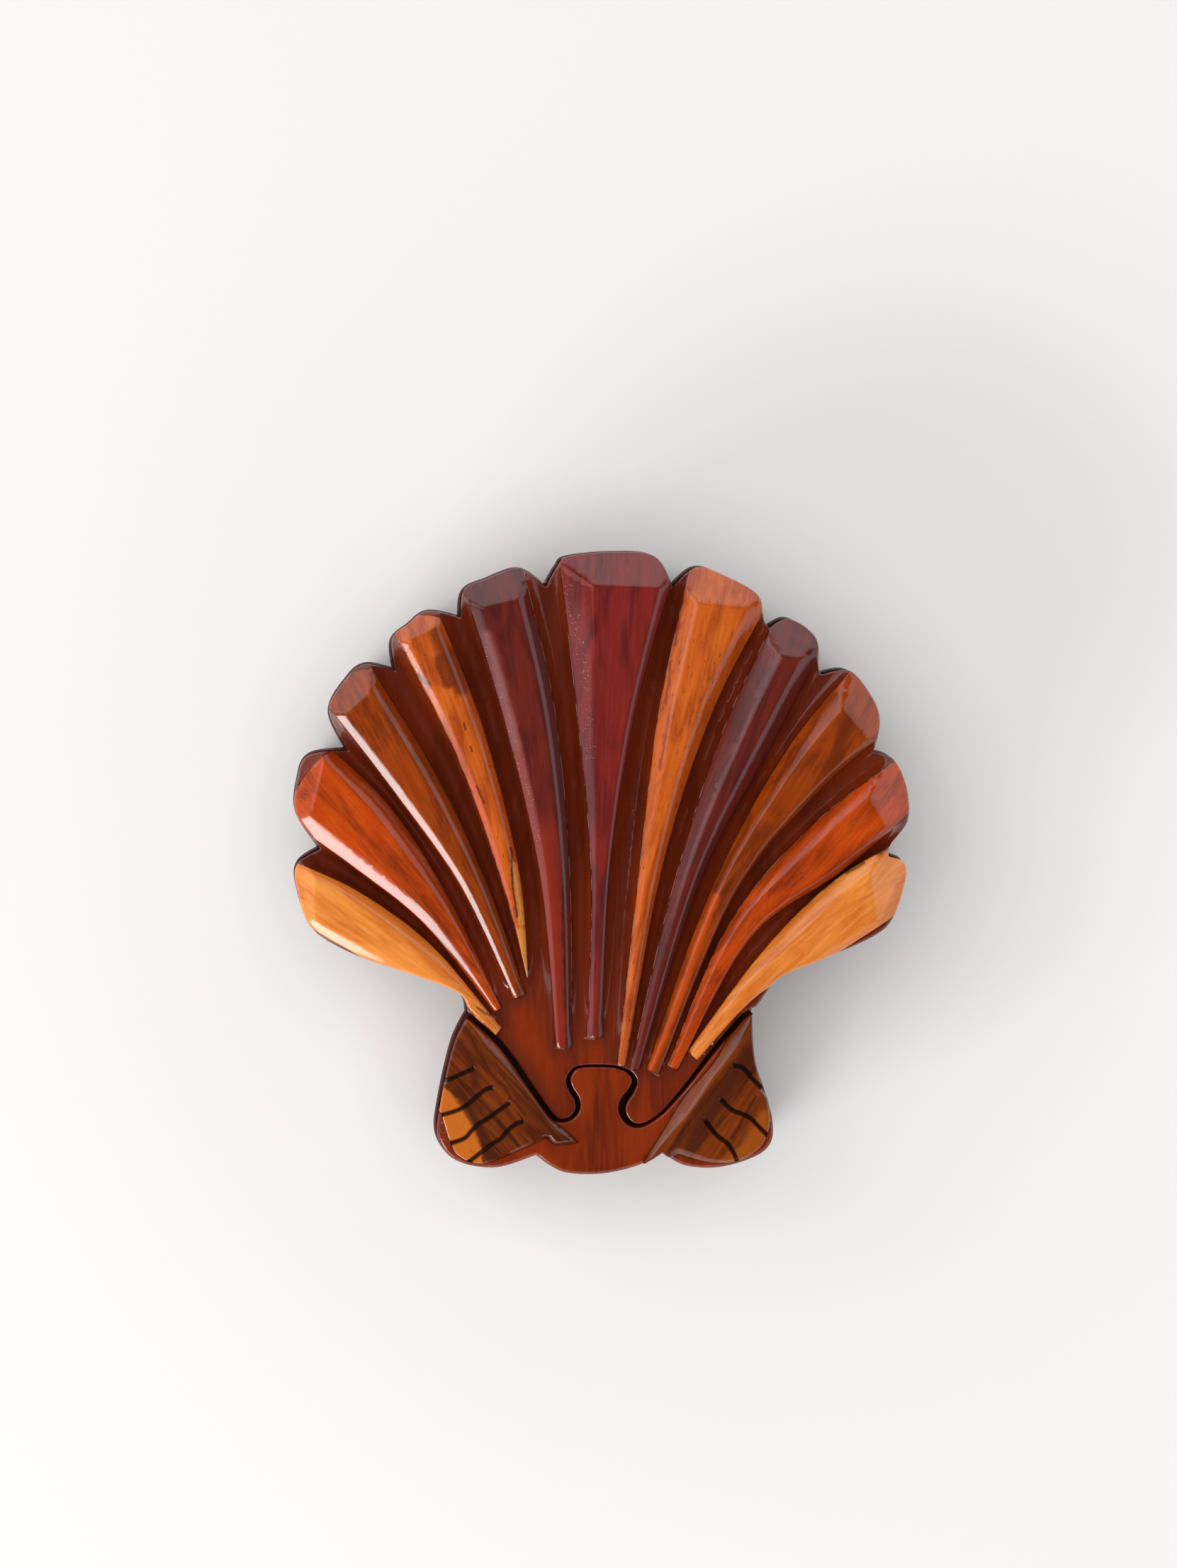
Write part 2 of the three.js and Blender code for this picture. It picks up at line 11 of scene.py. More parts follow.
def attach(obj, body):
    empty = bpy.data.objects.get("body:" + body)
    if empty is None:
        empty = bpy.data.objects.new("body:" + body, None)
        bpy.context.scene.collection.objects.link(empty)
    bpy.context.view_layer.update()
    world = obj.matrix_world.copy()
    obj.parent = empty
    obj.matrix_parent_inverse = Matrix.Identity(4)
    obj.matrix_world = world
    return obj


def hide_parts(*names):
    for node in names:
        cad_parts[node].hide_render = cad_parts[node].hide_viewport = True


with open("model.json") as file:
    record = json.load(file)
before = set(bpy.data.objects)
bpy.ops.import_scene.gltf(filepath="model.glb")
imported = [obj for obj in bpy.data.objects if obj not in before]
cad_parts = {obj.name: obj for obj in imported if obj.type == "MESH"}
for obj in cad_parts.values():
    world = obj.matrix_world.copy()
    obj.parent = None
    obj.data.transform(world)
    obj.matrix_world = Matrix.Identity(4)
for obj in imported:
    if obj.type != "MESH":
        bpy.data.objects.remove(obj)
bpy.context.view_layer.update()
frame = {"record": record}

# Sizes that the CAD source has too, in millimetres.
SHELL_WIDTH = 130
BODY_HEIGHT = 28
LID_TOP = 40
INLAY_FLOOR = 36
FLOOR_THICKNESS = 6
WALL_THICKNESS = 11
BODY_MARGIN = 0.75
BODY_SHIFT = (-0.5, 0.15)
BASE_CHAMFER = 1.2
CAVITY_SHIFT = 11.7
LIP_DEPTH = 2.5
LIP_CLEARANCE = 0.6
KERF = 1.1
CREST_HEIGHT = 3.8
ROOT_HEIGHT = 1.2
FOOT_HEIGHT = 0.3
CREST_SHARE = 0.6
GROOVE_SHARE = 0.55
GROOVE_FADE = 0.8
GROOVE_ROUND = 0.7
EAR_CREST = 2.4
EAR_FALL = 0.12
PLAN_SHIFT = (0.677, -0.218)
MILLIMETRE = 0.001

# How edges are eased: the width and the drop of what is worn off at glue lines, saw cut and rim, the
# height over which two facets blend, the width of the lines at a facet's turn, how convex the left and
# right facets are, and how steep the bevel at a rib's tip is.
GLUE_EASE = (0.22, 0.12)
KERF_EASE = (0.45, 0.3)
RIM_EASE = (0.5, 0.35)
KEY_EASE = (1.3, 0.8)
FACET_BLEND = 0.42
FACET_EASE = 0.5
LEFT_BOW = 0.06
RIGHT_BOW = 0.3
BEVEL_SLOPE = 0.72

# The body's eased upper edge, the share of its margin below which its corners have crossed over in a valley,
# and the rounding at the cavity's floor: heights over the floor and shares of the cavity's size.
BODY_EASE = 0.4
CROSSED = 0.95
CAVITY_FILLET = ((2, 1), (0.6, 0.99), (0, 0.96))

# What stands for the distance from the glue where there is none.
FAR_FROM_GLUE = 5.0

# How far the grooves reach below the lid's flat top, the share of a rib's length over which its glue lines
# run out at the root, how steeply the lid falls away beyond the outermost ribs and how far, how softly the
# painted shade on a rib's right flank begins, and the angle from which an edge stays sharp.
GROOVE_BOTTOM = 1.6
FOOT_FADE = 0.15
OUTER_SLOPE = 0.35
OUTER_REACH = 6
SHADED_FLANK_SOFTNESS = 0.35
SHARP_ANGLE = 42

# The hub that all ribs fan out from, in hundredths of the shell's width from the middle of the fan, as are
# all points below: x to the right and y towards the rim.
HUB = (-1, -60)

# The shell's outline and, further down, the ears' are closed chains of runs. Each run ends where the next
# one starts.
OUTLINE_RUNS = [
    [(-9.3, 45.1), (-7.2, 48.7), (-5.6, 50.1), (1.6, 50.8), (8.5, 50.1)],
    [(11.4, 45), (15.3, 48.3), (19.6, 47.1), (25.1, 43.9), (26.3, 39.9)],
    [(27.2, 38.3), (30.5, 39.9), (34.7, 36.9), (35.3, 31.8)],
    [(35.8, 30.8), (40.2, 31.4), (43.3, 28.3), (45.3, 23.8)],
    [(44.3, 18.1), (47.6, 16.9), (49.8, 12.4), (49.9, 6.9), (46.9, 2.9)],
    [(46.6, 1.1), (49.4, -0.1), (49.3, -3.8), (46.1, -10.6), (36.9, -15.2), (29.1, -18.4), (25.6, -22.6)],
    [(24.3, -24.8), (24.9, -32.5), (27.7, -41.8), (26.6, -46.8), (19.9, -49.5), (13.6, -49.4)],
    [(9.7, -47.2), (5.7, -49.4), (-0.1, -50.7), (-5.6, -50.6), (-8.4, -49.5)],
    [(-10.9, -47.7), (-17.6, -49.7), (-24, -48.5), (-26.9, -44.8), (-26.4, -38.9), (-24.3, -29.8)],
    [
        (-21.9, -24.8), (-23.3, -21.2), (-31, -18.1), (-40.3, -14.9),
        (-47.3, -10.6), (-49.9, -4), (-49.8, -0.2),
    ],
    [(-46.1, 2.3), (-50, 8.3), (-49.8, 13.8), (-48, 17.5)],
    [(-41.6, 18.4), (-44.6, 24.9), (-41.7, 30.3), (-38.8, 32.4)],
    [(-33.9, 31.4), (-34.4, 36.4), (-31.8, 38.9), (-28.6, 41.1)],
    [(-23.2, 40.1), (-22.6, 44.6), (-19, 46.4), (-13.6, 48.1)],
]

# The saw cut between lid and key. The third number widens or narrows it there.
SAW_LINE = [
    (-24.2, -22.9, 1), (-21.8, -24.9, 1.1), (-18.2, -28, 1.15), (-15, -31.7, 1.15), (-11.8, -36.4, 1.1),
    (-9, -40.4, 1), (-7.8, -41.7, 0.9), (-6.6, -42.1, 0.75), (-5.1, -41.6, 0.75), (-4.1, -40.2, 0.9),
    (-4.2, -38.6, 1), (-5.2, -36.9, 1), (-5.6, -35.3, 0.85), (-4.7, -33.7, 0.6), (-3.2, -33.2, 0.5),
    (-0.6, -33.1, 0.5), (2.3, -33.3, 0.5), (4.4, -34.2, 0.75), (5.2, -35.6, 1), (4.6, -37.2, 1.25),
    (3.4, -39, 1.4), (3.2, -40.6, 1.35), (4.2, -42.3, 1.1), (5.9, -42.9, 0.8), (8.1, -42, 0.6),
    (10.5, -40, 0.6), (14.1, -35.8, 0.8), (17.7, -31.1, 0.95), (21.1, -27, 1.1), (23.3, -24.7, 1.05),
    (26, -23.4, 1),
]

# Each rib runs from its tip at the rim to its root. left and right are its edges. crest and shoulder are
# the shares of its width that the left and right facets take, at the tip, at four tenths of its length and
# at the root, and slopes is how steeply they fall to the glue lines. fall is how much lower the right side
# of its top lies. bevel is the line where the bevel at its tip begins. bulge is how far its end bows out.
# Where a rib states no bulge, fall or slopes, it has those of RIB_DEFAULTS.
RIB_DEFAULTS = dict(bulge=0.5, fall=0, slopes=(0.65, 1.0))
RIBS = [
    dict(
        name="rib_left_5", bulge=2, crest=(0.18, 0.27, 0.4), shoulder=(0.07, 0.2, 0.3),
        left=[(-52.3, -7.8), (-37, -16.5), (-24.3, -21.3), (-18.3, -29.2)],
        right=[(-51.5, 0.8), (-39.9, -4.5), (-27.8, -13.4), (-16.5, -26.8)],
        bevel=[(-46.6, -9), (-46.6, -1)],
    ),
    dict(
        name="rib_left_4", bulge=1.5, crest=(0.27, 0.27, 0.66), shoulder=(0.15, 0.25, 0.28),
        left=[(-51.6, 7), (-40.5, -0.8), (-29, -10.1), (-17.7, -24.4)],
        right=[(-44, 18.4), (-34.7, 9.4), (-25.5, -4.7), (-16.5, -23.5)],
        bevel=[(-47.1, 9), (-45.1, 17.1)],
    ),
    dict(
        name="rib_left_3", bulge=1.5, crest=(0.18, 0.27, 0.44), shoulder=(0.2, 0.3, 0.45),
        left=[(-45.4, 26.3), (-33.6, 11), (-23.2, -3.8), (-14.5, -22.1)],
        right=[(-37.6, 31.8), (-26.6, 13.6), (-18.6, -3.8), (-12.5, -21.4)],
        bevel=[(-41, 24.9), (-37.3, 28.2)],
    ),
    dict(
        name="rib_left_2", bulge=1.3, crest=(0.18, 0.31, 0.48), shoulder=(0.2, 0.3, 0.45),
        left=[(-34.4, 38.4), (-23.6, 17.1), (-16, -4.3), (-12.3, -18.7)],
        right=[(-26.3, 39.9), (-19.5, 22.3), (-13.6, -0.9), (-12.1, -18.3)],
        bevel=[(-32.4, 35.5), (-26.3, 38.4)],
    ),
    dict(
        name="rib_left_1", bulge=1, crest=(0.16, 0.28, 0.31), shoulder=(0.23, 0.24, 0.38),
        left=[(-23.2, 46.5), (-16, 22.8), (-10.2, -2.6), (-7.6, -30.1)],
        right=[(-13.2, 49.2), (-7.8, 25.1), (-5.3, -2), (-5, -30.1)],
        bevel=[(-19.3, 41.4), (-13.4, 42.8)],
    ),
    dict(
        name="rib_centre", slopes=(0.65, 0.9),
        crest=(0.3, 0.32, 0.5), shoulder=(0.12, 0.14, 0.45),
        left=[(-7.3, 51.2), (-4.3, 25.1), (-1.9, -1.4), (-2.5, -28.4)],
        right=[(12.9, 51.2), (5.5, 25.1), (1.2, -1.4), (0.1, -28.4)],
        bevel=[(-2.1, 45), (8, 44.6)],
    ),
    dict(
        name="rib_right_1", fall=0.1, slopes=(0.75, 1.0),
        crest=(0.15, 0.3, 0.42), shoulder=(0.2, 0.3, 0.45),
        left=[(14.7, 50), (9.2, 25.1), (6.1, 0.3), (2.4, -33)],
        right=[(28.6, 45), (18.2, 25.1), (9.8, -0.5), (3.8, -33)],
        bevel=[(15.8, 42.1), (21.3, 41.3)],
    ),
    dict(
        name="rib_right_2", slopes=(0.76, 1.0),
        crest=(0.43, 0.42, 0.44), shoulder=(0.28, 0.32, 0.4),
        left=[(28.8, 41.3), (19.4, 21.1), (11.3, -4.3), (4.5, -33.6)],
        right=[(37.5, 38.1), (27.7, 19.4), (16.1, -2.6), (6.1, -33.6)],
        bevel=[(29.5, 33.5), (31.7, 33.2)],
    ),
    dict(
        name="rib_right_3", fall=0.5, slopes=(1.0, 1.0),
        crest=(0.26, 0.33, 0.4), shoulder=(0.1, 0.15, 0.2),
        left=[(41.8, 33), (29.4, 17.6), (17.3, -5.1), (7.1, -33.6)],
        right=[(47, 22), (34.6, 11), (21.3, -5.5), (9.2, -34.4)],
        bevel=[(38.9, 24.9), (40.9, 20.5)],
    ),
    dict(
        name="rib_right_4", fall=0.5, slopes=(1.0, 1.0),
        crest=(0.26, 0.3, 0.36), shoulder=(0.1, 0.15, 0.2),
        left=[(50.2, 18.4), (34.6, 6.6), (20.8, -9.5), (10.6, -32.9)],
        right=[(52, 9.8), (39.2, -1.2), (24.2, -12.1), (12.2, -33.8)],
        bevel=[(43.1, 10.9), (44, 6.7)],
    ),
    dict(
        name="rib_right_5", fall=0.4, slopes=(0.85, 1.0),
        crest=(0.18, 0.27, 0.36), shoulder=(0.1, 0.15, 0.2),
        left=[(50.8, 4.7), (38.1, -2.5), (26, -14.4), (13.9, -30.6)],
        right=[(52, -5.8), (36.9, -15.5), (25.6, -21.3), (15.4, -32.2)],
        bevel=[(43.3, -1.2), (43.1, -7.9)],
    ),
]
SHARE_STOPS = (0, 0.4, 1)

# Each ear: the runs of its outline, which pass over the shell's edge and the saw cut where it is cut flush,
# the ridge of its inner bevel, which of its runs have a bevel down to the rim and how steep that is, and the
# lines cut across it.
EARS = [
    dict(
        name="ear_left", lower=(1, 2), lower_slope=2.4,
        runs=[
            [(-22, -23.4), (-16, -29.7), (-11.5, -36.4), (-9.2, -40.3), (-7.3, -42.6)],
            [(-4, -45.6), (-7.6, -46)],
            [(-9.1, -44.7), (-12.8, -46.5), (-19.5, -49), (-23.2, -47.9), (-24.8, -45.6)],
            [(-26.4, -40.7), (-29, -38), (-29, -30.3)],
        ],
        ridge=[
            (-21.8, -25.9), (-18.4, -30.5), (-14.2, -35.1), (-10.8, -39.4), (-7.8, -43.3), (-4.6, -45.5),
        ],
        cuts=[
            [(-28.5, -36.8), (-26.5, -35.9), (-23.2, -34.4), (-21, -33.4)],
            [(-28.5, -41.7), (-24, -40.4), (-22, -39.3), (-20.2, -37.7), (-19, -36.8), (-18, -36.5)],
            [(-27, -46.4), (-22.8, -45), (-21.4, -43.7), (-20.1, -42.4), (-18.6, -41.5), (-15.2, -39)],
            [(-23.6, -50.2), (-18.2, -45.9), (-16.6, -44.9), (-15.4, -43.5), (-14.2, -42.5), (-13, -42)],
        ],
    ),
    dict(
        name="ear_right", lower=(2,), lower_slope=1.1,
        runs=[
            [(22, -24.6), (18.5, -32), (13.5, -37.9), (10, -43.5)],
            [(6.6, -48.8), (8, -50), (10.3, -48)],
            [(12.3, -47.5), (17.3, -48.8), (21.9, -48.6), (25.6, -46.5), (27.2, -43.1)],
            [(27.2, -39.6), (30, -37.3), (28.8, -25.7)],
        ],
        ridge=[
            (23.6, -26.5), (21.9, -29.7), (19.7, -32.7), (17.7, -35.3),
            (15.9, -38.1), (13.5, -41.3), (9.9, -45.5), (7.7, -48.3),
        ],
        cuts=[
            [(21.4, -32.9), (22.7, -33.2), (23.7, -34.2), (24.7, -35.4), (27.7, -38.6)],
            [
                (19.4, -38.5), (20.3, -39.5), (21.3, -40.3), (23.1, -41),
                (24.3, -41.7), (25.5, -43), (29, -46.5),
            ],
            [(16.8, -42), (18.7, -44.4), (20.1, -45.4), (20.9, -46.4), (21.7, -47.9), (22.5, -50.5)],
        ],
    ),
]
CUT_WIDTH = 1.15
CUT_DEPTH = 1.0
RIDGE_SLOPE = 0.8
LOWER_FOOT = 0.25

# How finely the plan is divided, in millimetres. Near its tip, within TIP_REACH, a rib is divided finer.
OUTLINE_STEP = 0.7
SAW_STEP = 0.45
RIB_STEP = 1.1
TIP_STEP = 0.6
TIP_REACH = 22
SPOT_STEP = 0.12
LATTICE = 1.3
CLEARANCE = 0.42
CAVITY_SIDES = 96
EDGE_STEPS = 80
BEVEL_STEPS = 17

# How far the lines of a rib, a groove and a bevel run past both of their ends, the least angle of a groove
# that gets lines, how near to a rib's edge a corner counts as on it, and the share of a rib's length, from
# its tip, up to which the lid beside it takes its height.
RIB_OVERRUN = (1.5, 4)
GROOVE_OVERRUN = (1, 3)
BEVEL_OVERRUN = 4
NARROW_GROOVE = 0.003
ON_EDGE = 0.02
TIP_SHARE = 0.3

# Where further lines follow the turns of the surface: the shares of the way across a groove, and the
# distances to both sides of a bevel's line, an ear's ridge and lower edge, and inside the rim and the cut.
GROOVE_SPOTS = (0.05, 0.15, 0.3, 0.5, 0.7, 0.85, 0.95)
CUT_SPOTS = (-1, -0.7, -0.35, 0, 0.35, 0.7, 1)
BEVEL_OFFSETS = (-0.6, -0.2, 0.2, 0.6)
RIDGE_OFFSETS = (-0.25, -0.08, 0.08, 0.25)
LOWER_OFFSETS = (-1.5, -1.1, -0.7, -0.3, 0.3, 0.7, 1.1, 1.5)
RIM_OFFSETS = (0.18, RIM_EASE[0], RIM_EASE[0] + 0.15)
SAW_OFFSETS = (0.15, KERF_EASE[0])

# Curves and distances in plan.


def plan(points):
    return np.asarray(points, float) * SHELL_WIDTH / 100


def smooth_curve(points, shares):
    given = np.asarray(points, float)
    last = len(given) - 1
    place = np.clip(np.asarray(shares, float), 0, 1) * last
    start = np.minimum(place.astype(int), last - 1)
    w = (place - start)[:, None]
    before, first = given[np.maximum(start - 1, 0)], given[start]
    second, after = given[start + 1], given[np.minimum(start + 2, last)]
    leave, arrive = (second - before) / 2, (after - first) / 2
    cubic = 2 * (first - second) + leave + arrive
    square = 3 * (second - first) - 2 * leave - arrive
    return ((cubic * w + square) * w + leave) * w + first


def walk(points, step):
    rough = smooth_curve(points, np.linspace(0, 1, 60))
    length = np.hypot(*np.diff(rough[:, :2], axis=0).T).sum()
    return smooth_curve(points, np.linspace(0, 1, max(3, math.ceil(length / step) + 1)))


def joined(runs):
    """The runs of a closed outline, each with the first point of the next one as its last."""
    return [[*run, following[0]] for run, following in zip(runs, runs[1:] + runs[:1])]


def closed_outline(runs, step):
    return np.concatenate([walk(plan(run), step)[:-1] for run in joined(runs)])


def side_normals(line):
    along = np.gradient(line, axis=0)
    along /= np.maximum(1e-9, np.hypot(along[:, 0], along[:, 1]))[:, None]
    return np.stack([-along[:, 1], along[:, 0]], axis=1)


def loop_normals(loop):
    wrapped = np.concatenate([loop[-1:], loop, loop[:1]])
    normals = side_normals(wrapped)[1:-1]
    turn = np.sum(loop[:, 0] * np.roll(loop[:, 1], -1) - loop[:, 1] * np.roll(loop[:, 0], -1))
    return normals * (-1 if turn > 0 else 1)


def inside(points, loop):
    x, y = points[:, 0], points[:, 1]
    result = np.zeros(len(points), bool)
    for (x0, y0), (x1, y1) in zip(loop, np.roll(loop, -1, axis=0)):
        if y0 != y1:
            crosses = ((y0 > y) != (y1 > y)) & (x < (x1 - x0) * (y - y0) / (y1 - y0) + x0)
            result ^= crosses
    return result


def distances(points, lines):
    """The distance of each point from the nearest of the lines."""
    spots = []
    for line in lines:
        for start, end in zip(line[:-1], line[1:]):
            count = max(1, math.ceil(np.hypot(*(end - start)) / SPOT_STEP))
            spots += [start + (end - start) * i / count for i in range(count + 1)]
    tree = kdtree.KDTree(len(spots))
    for i, (x, y) in enumerate(spots):
        tree.insert((x, y, 0), i)
    tree.balance()
    return np.array([tree.find((x, y, 0))[2] for x, y in points])


def signed_distance(points, line):
    """The distance to the left of a line."""
    normals = side_normals(line)
    gaps = points[:, None, :] - line[None, :, :]
    nearest = np.argmin((gaps**2).sum(axis=2), axis=1)
    rows = np.arange(len(points))
    return (gaps[rows, nearest] * normals[nearest]).sum(axis=1)


def blend_min(a, b, width):
    overlap = np.maximum(width - np.abs(a - b), 0)
    return np.minimum(a, b) - overlap**2 / (4 * width)


def mix(a, b, share):
    return a + (b - a) * share


# Polar strips round the hub. Every rib edge has an angle at every radius.

hub = plan(HUB)


def polar(points):
    from_hub = points - hub
    return np.hypot(from_hub[:, 0], from_hub[:, 1]), np.arctan2(from_hub[:, 0], from_hub[:, 1])


def from_polar(radius, angle):
    return np.stack([hub[0] + radius * np.sin(angle), hub[1] + radius * np.cos(angle)], axis=1)


class Edge:
    """A rib's edge: its angle and its share of the way to the root at each radius."""

    def __init__(self, points):
        shares = np.linspace(0, 1, EDGE_STEPS + 1)
        line = smooth_curve(plan(points), shares)
        out, back = line[0] - line[1], line[-1] - line[-2]
        beyond = np.array([24, 16, 8, 4])[:, None]
        past = np.array([4, 8, 12, 16])[:, None]
        full = np.concatenate([line[0] + beyond * out, line, line[-1] + past * back])
        share = np.concatenate([-beyond[:, 0] / EDGE_STEPS, shares, 1 + past[:, 0] / EDGE_STEPS])
        radius, angle = polar(full)
        order = np.argsort(radius)
        self.radius, self.angle, self.share = radius[order], angle[order], share[order]
        self.line = line

    def angle_at(self, radius):
        return np.interp(radius, self.radius, self.angle)

    def share_at(self, radius):
        return np.interp(radius, self.radius, self.share)


class Rib:
    def __init__(self, table):
        self.name = table["name"]
        self.left, self.right = Edge(table["left"]), Edge(table["right"])
        self.crest, self.shoulder = table["crest"], table["shoulder"]
        self.fall, self.slopes = table["fall"], table["slopes"]
        start, end = plan(table["bevel"])
        along = (end - start) / np.hypot(*(end - start))
        self.outward = np.array([-along[1], along[0]])
        if np.dot(self.outward, start - hub) < 0:
            self.outward = -self.outward
        self.bevel = (start, end)
        bulge = table["bulge"] * SHELL_WIDTH / 100
        self.tip = self.end_curve(plan(table["left"]), plan(table["right"]), bulge)
        self.low = min(polar(edge.line[-1:])[0][0] for edge in (self.left, self.right))
        self.high = max(polar(edge.line[:1])[0][0] for edge in (self.left, self.right))
        axis = (self.left.line[0] + self.right.line[0] - self.left.line[-1] - self.right.line[-1]) / 2
        self.axis = axis / np.hypot(*axis)

    def end_curve(self, left, right, bulge):
        outward = (left[0] - left[1]) + (right[0] - right[1])
        outward /= np.hypot(*outward)
        across = np.linspace(0, 1, 13)[:, None]
        return mix(left[0], right[0], across) + outward * bulge * 4 * across * (1 - across)

    def footprint(self):
        return np.concatenate([self.tip, self.right.line[1:], self.left.line[:0:-1]])

    def place(self, radius, angle):
        """Share across, share along, and width of the rib at polar points."""
        first, last = self.left.angle_at(radius), self.right.angle_at(radius)
        across = (angle - first) / np.maximum(last - first, 1e-4)
        along = mix(self.left.share_at(radius), self.right.share_at(radius), np.clip(across, 0, 1))
        step = 0.5
        lean = (self.left.angle_at(radius + step) - self.left.angle_at(radius - step)) / (2 * step)
        width = radius * np.maximum(last - first, 1e-4) / np.sqrt(1 + (radius * lean) ** 2)
        return across, along, width

    def shares(self, along):
        def through(values):
            (x0, x1, x2), (y0, y1, y2) = SHARE_STOPS, values
            t = np.clip(along, 0, 1)
            return (
                y0 * (t - x1) * (t - x2) / ((x0 - x1) * (x0 - x2))
                + y1 * (t - x0) * (t - x2) / ((x1 - x0) * (x1 - x2))
                + y2 * (t - x0) * (t - x1) / ((x2 - x0) * (x2 - x1))
            )

        return through(self.crest), 1 - through(self.shoulder)

    def form(self, along, width):
        """The turns of the rib's section: where they lie across it, and how high."""
        crest, shoulder = self.shares(along)
        high = crest_height(along)
        low = mix(high, FOOT_HEIGHT, self.fall * (1 - np.clip(along, 0, 1)))
        left_foot = np.maximum(FOOT_HEIGHT, high - self.slopes[0] * crest * width)
        right_foot = np.maximum(FOOT_HEIGHT, low - self.slopes[1] * (1 - shoulder) * width)
        return crest, shoulder, high, low, left_foot, right_foot

    def feet(self, radius):
        """The heights of both glue lines, which run out at the root."""
        width = self.place(radius, self.left.angle_at(radius))[2]
        feet = []
        for edge, pick in ((self.left, 4), (self.right, 5)):
            along = edge.share_at(radius)
            fade = np.clip((1 - along) / FOOT_FADE, 0, 1)
            feet.append(self.form(along, width)[pick] * fade * (2 - fade))
        return feet

    def bevel_height(self, points):
        return CREST_HEIGHT - BEVEL_SLOPE * ((points - self.bevel[0]) @ self.outward)

    def height(self, points):
        radius, angle = polar(points)
        across, along, width = self.place(radius, angle)
        across = np.clip(across, 0, 1)
        crest, shoulder, high, low, left_foot, right_foot = self.form(along, width)
        left = left_foot + (high - left_foot) * bowed(across / crest, LEFT_BOW)
        right = right_foot + (low - right_foot) * bowed((1 - across) / (1 - shoulder), RIGHT_BOW)
        top = high + (low - high) * (across - crest) / np.maximum(shoulder - crest, 0.02)
        z = blend_min(blend_min(left, top, FACET_BLEND), right, FACET_BLEND)
        return blend_min(z, self.bevel_height(points), FACET_BLEND)

    def rows(self):
        """Lines along the rib where its facets turn."""
        radius = np.concatenate(
            [
                np.arange(self.low - RIB_OVERRUN[0], self.high - TIP_REACH, RIB_STEP),
                np.arange(self.high - TIP_REACH, self.high + RIB_OVERRUN[1], TIP_STEP),
            ]
        )
        first, last = self.left.angle_at(radius), self.right.angle_at(radius)
        middle = mix(first, last, 0.5)
        along, width = self.place(radius, middle)[1:]
        crest, shoulder = self.shares(along)
        ease = FACET_EASE / width
        before = np.minimum(ease, crest * 0.3)
        between = np.minimum(ease, (shoulder - crest) * 0.3)
        after = np.minimum(ease, (1 - shoulder) * 0.3)
        glue = GLUE_EASE[0] / width
        spots = [
            np.minimum(glue, crest * 0.2),
            np.minimum(1.4 * glue, crest * 0.28),
            crest * 0.55,
            crest - before,
            crest - before / 3,
            crest + between / 3,
            crest + between,
            (crest + shoulder) / 2,
            shoulder - between,
            shoulder - between / 3,
            shoulder + after / 3,
            shoulder + after,
            (1 + shoulder) / 2,
            1 - np.minimum(1.4 * glue, (1 - shoulder) * 0.28),
            1 - np.minimum(glue, (1 - shoulder) * 0.2),
        ]
        return [from_polar(radius, mix(first, last, spot)) for spot in spots]


def bowed(share, bow):
    """A facet's rise from 0 to 1, a little convex."""
    return np.where(share < 1, share + bow * share * (1 - share), 1 + (1 - bow) * (share - 1))


def crest_height(along):
    risen = np.sin(np.clip((1 - along) / CREST_SHARE, 0, 1) * math.pi / 2)
    return mix(ROOT_HEIGHT, CREST_HEIGHT, risen)


ribs = [Rib({**RIB_DEFAULTS, **table}) for table in RIBS]


def groove_rows(left_rib, right_rib):
    low = min(left_rib.low, right_rib.low) - GROOVE_OVERRUN[0]
    high = max(left_rib.high, right_rib.high) + GROOVE_OVERRUN[1]
    radius = np.arange(low, high, RIB_STEP)
    first, last = left_rib.right.angle_at(radius), right_rib.left.angle_at(radius)
    keep = last - first > NARROW_GROOVE
    return [from_polar(radius[keep], mix(first, last, share)[keep]) for share in GROOVE_SPOTS]


def groove_height(left_rib, right_rib, points):
    radius, angle = polar(points)
    first, last = left_rib.right.angle_at(radius), right_rib.left.angle_at(radius)
    across = np.clip((angle - first) / np.maximum(last - first, 1e-4), 0, 1)
    along = (left_rib.right.share_at(radius) + right_rib.left.share_at(radius)) / 2
    left_foot, right_foot = left_rib.feet(radius)[1], right_rib.feet(radius)[0]
    bottom = GROOVE_BOTTOM * np.clip((1 - along) / GROOVE_SHARE, 0, 1) ** GROOVE_FADE
    depth = bottom + mix(left_foot, right_foot, 0.5)
    z = mix(left_foot, right_foot, across) - depth * np.sin(math.pi * across) ** GROOVE_ROUND
    bevel = mix(left_rib.bevel_height(points), right_rib.bevel_height(points), across)
    return blend_min(z, bevel, FACET_BLEND)


def outer_height(rib, edge, points):
    """The sliver of the lid beyond the outermost ribs, which falls away from them."""
    radius, angle = polar(points)
    gap = radius * np.abs(angle - edge.angle_at(radius))
    fade = np.clip((1 - edge.share_at(radius)) / FOOT_FADE, 0, 1)
    foot = rib.feet(radius)[0 if edge is rib.left else 1]
    fallen = foot - OUTER_SLOPE * np.clip(gap, 0, OUTER_REACH)
    return np.minimum(fallen * fade, rib.bevel_height(points))


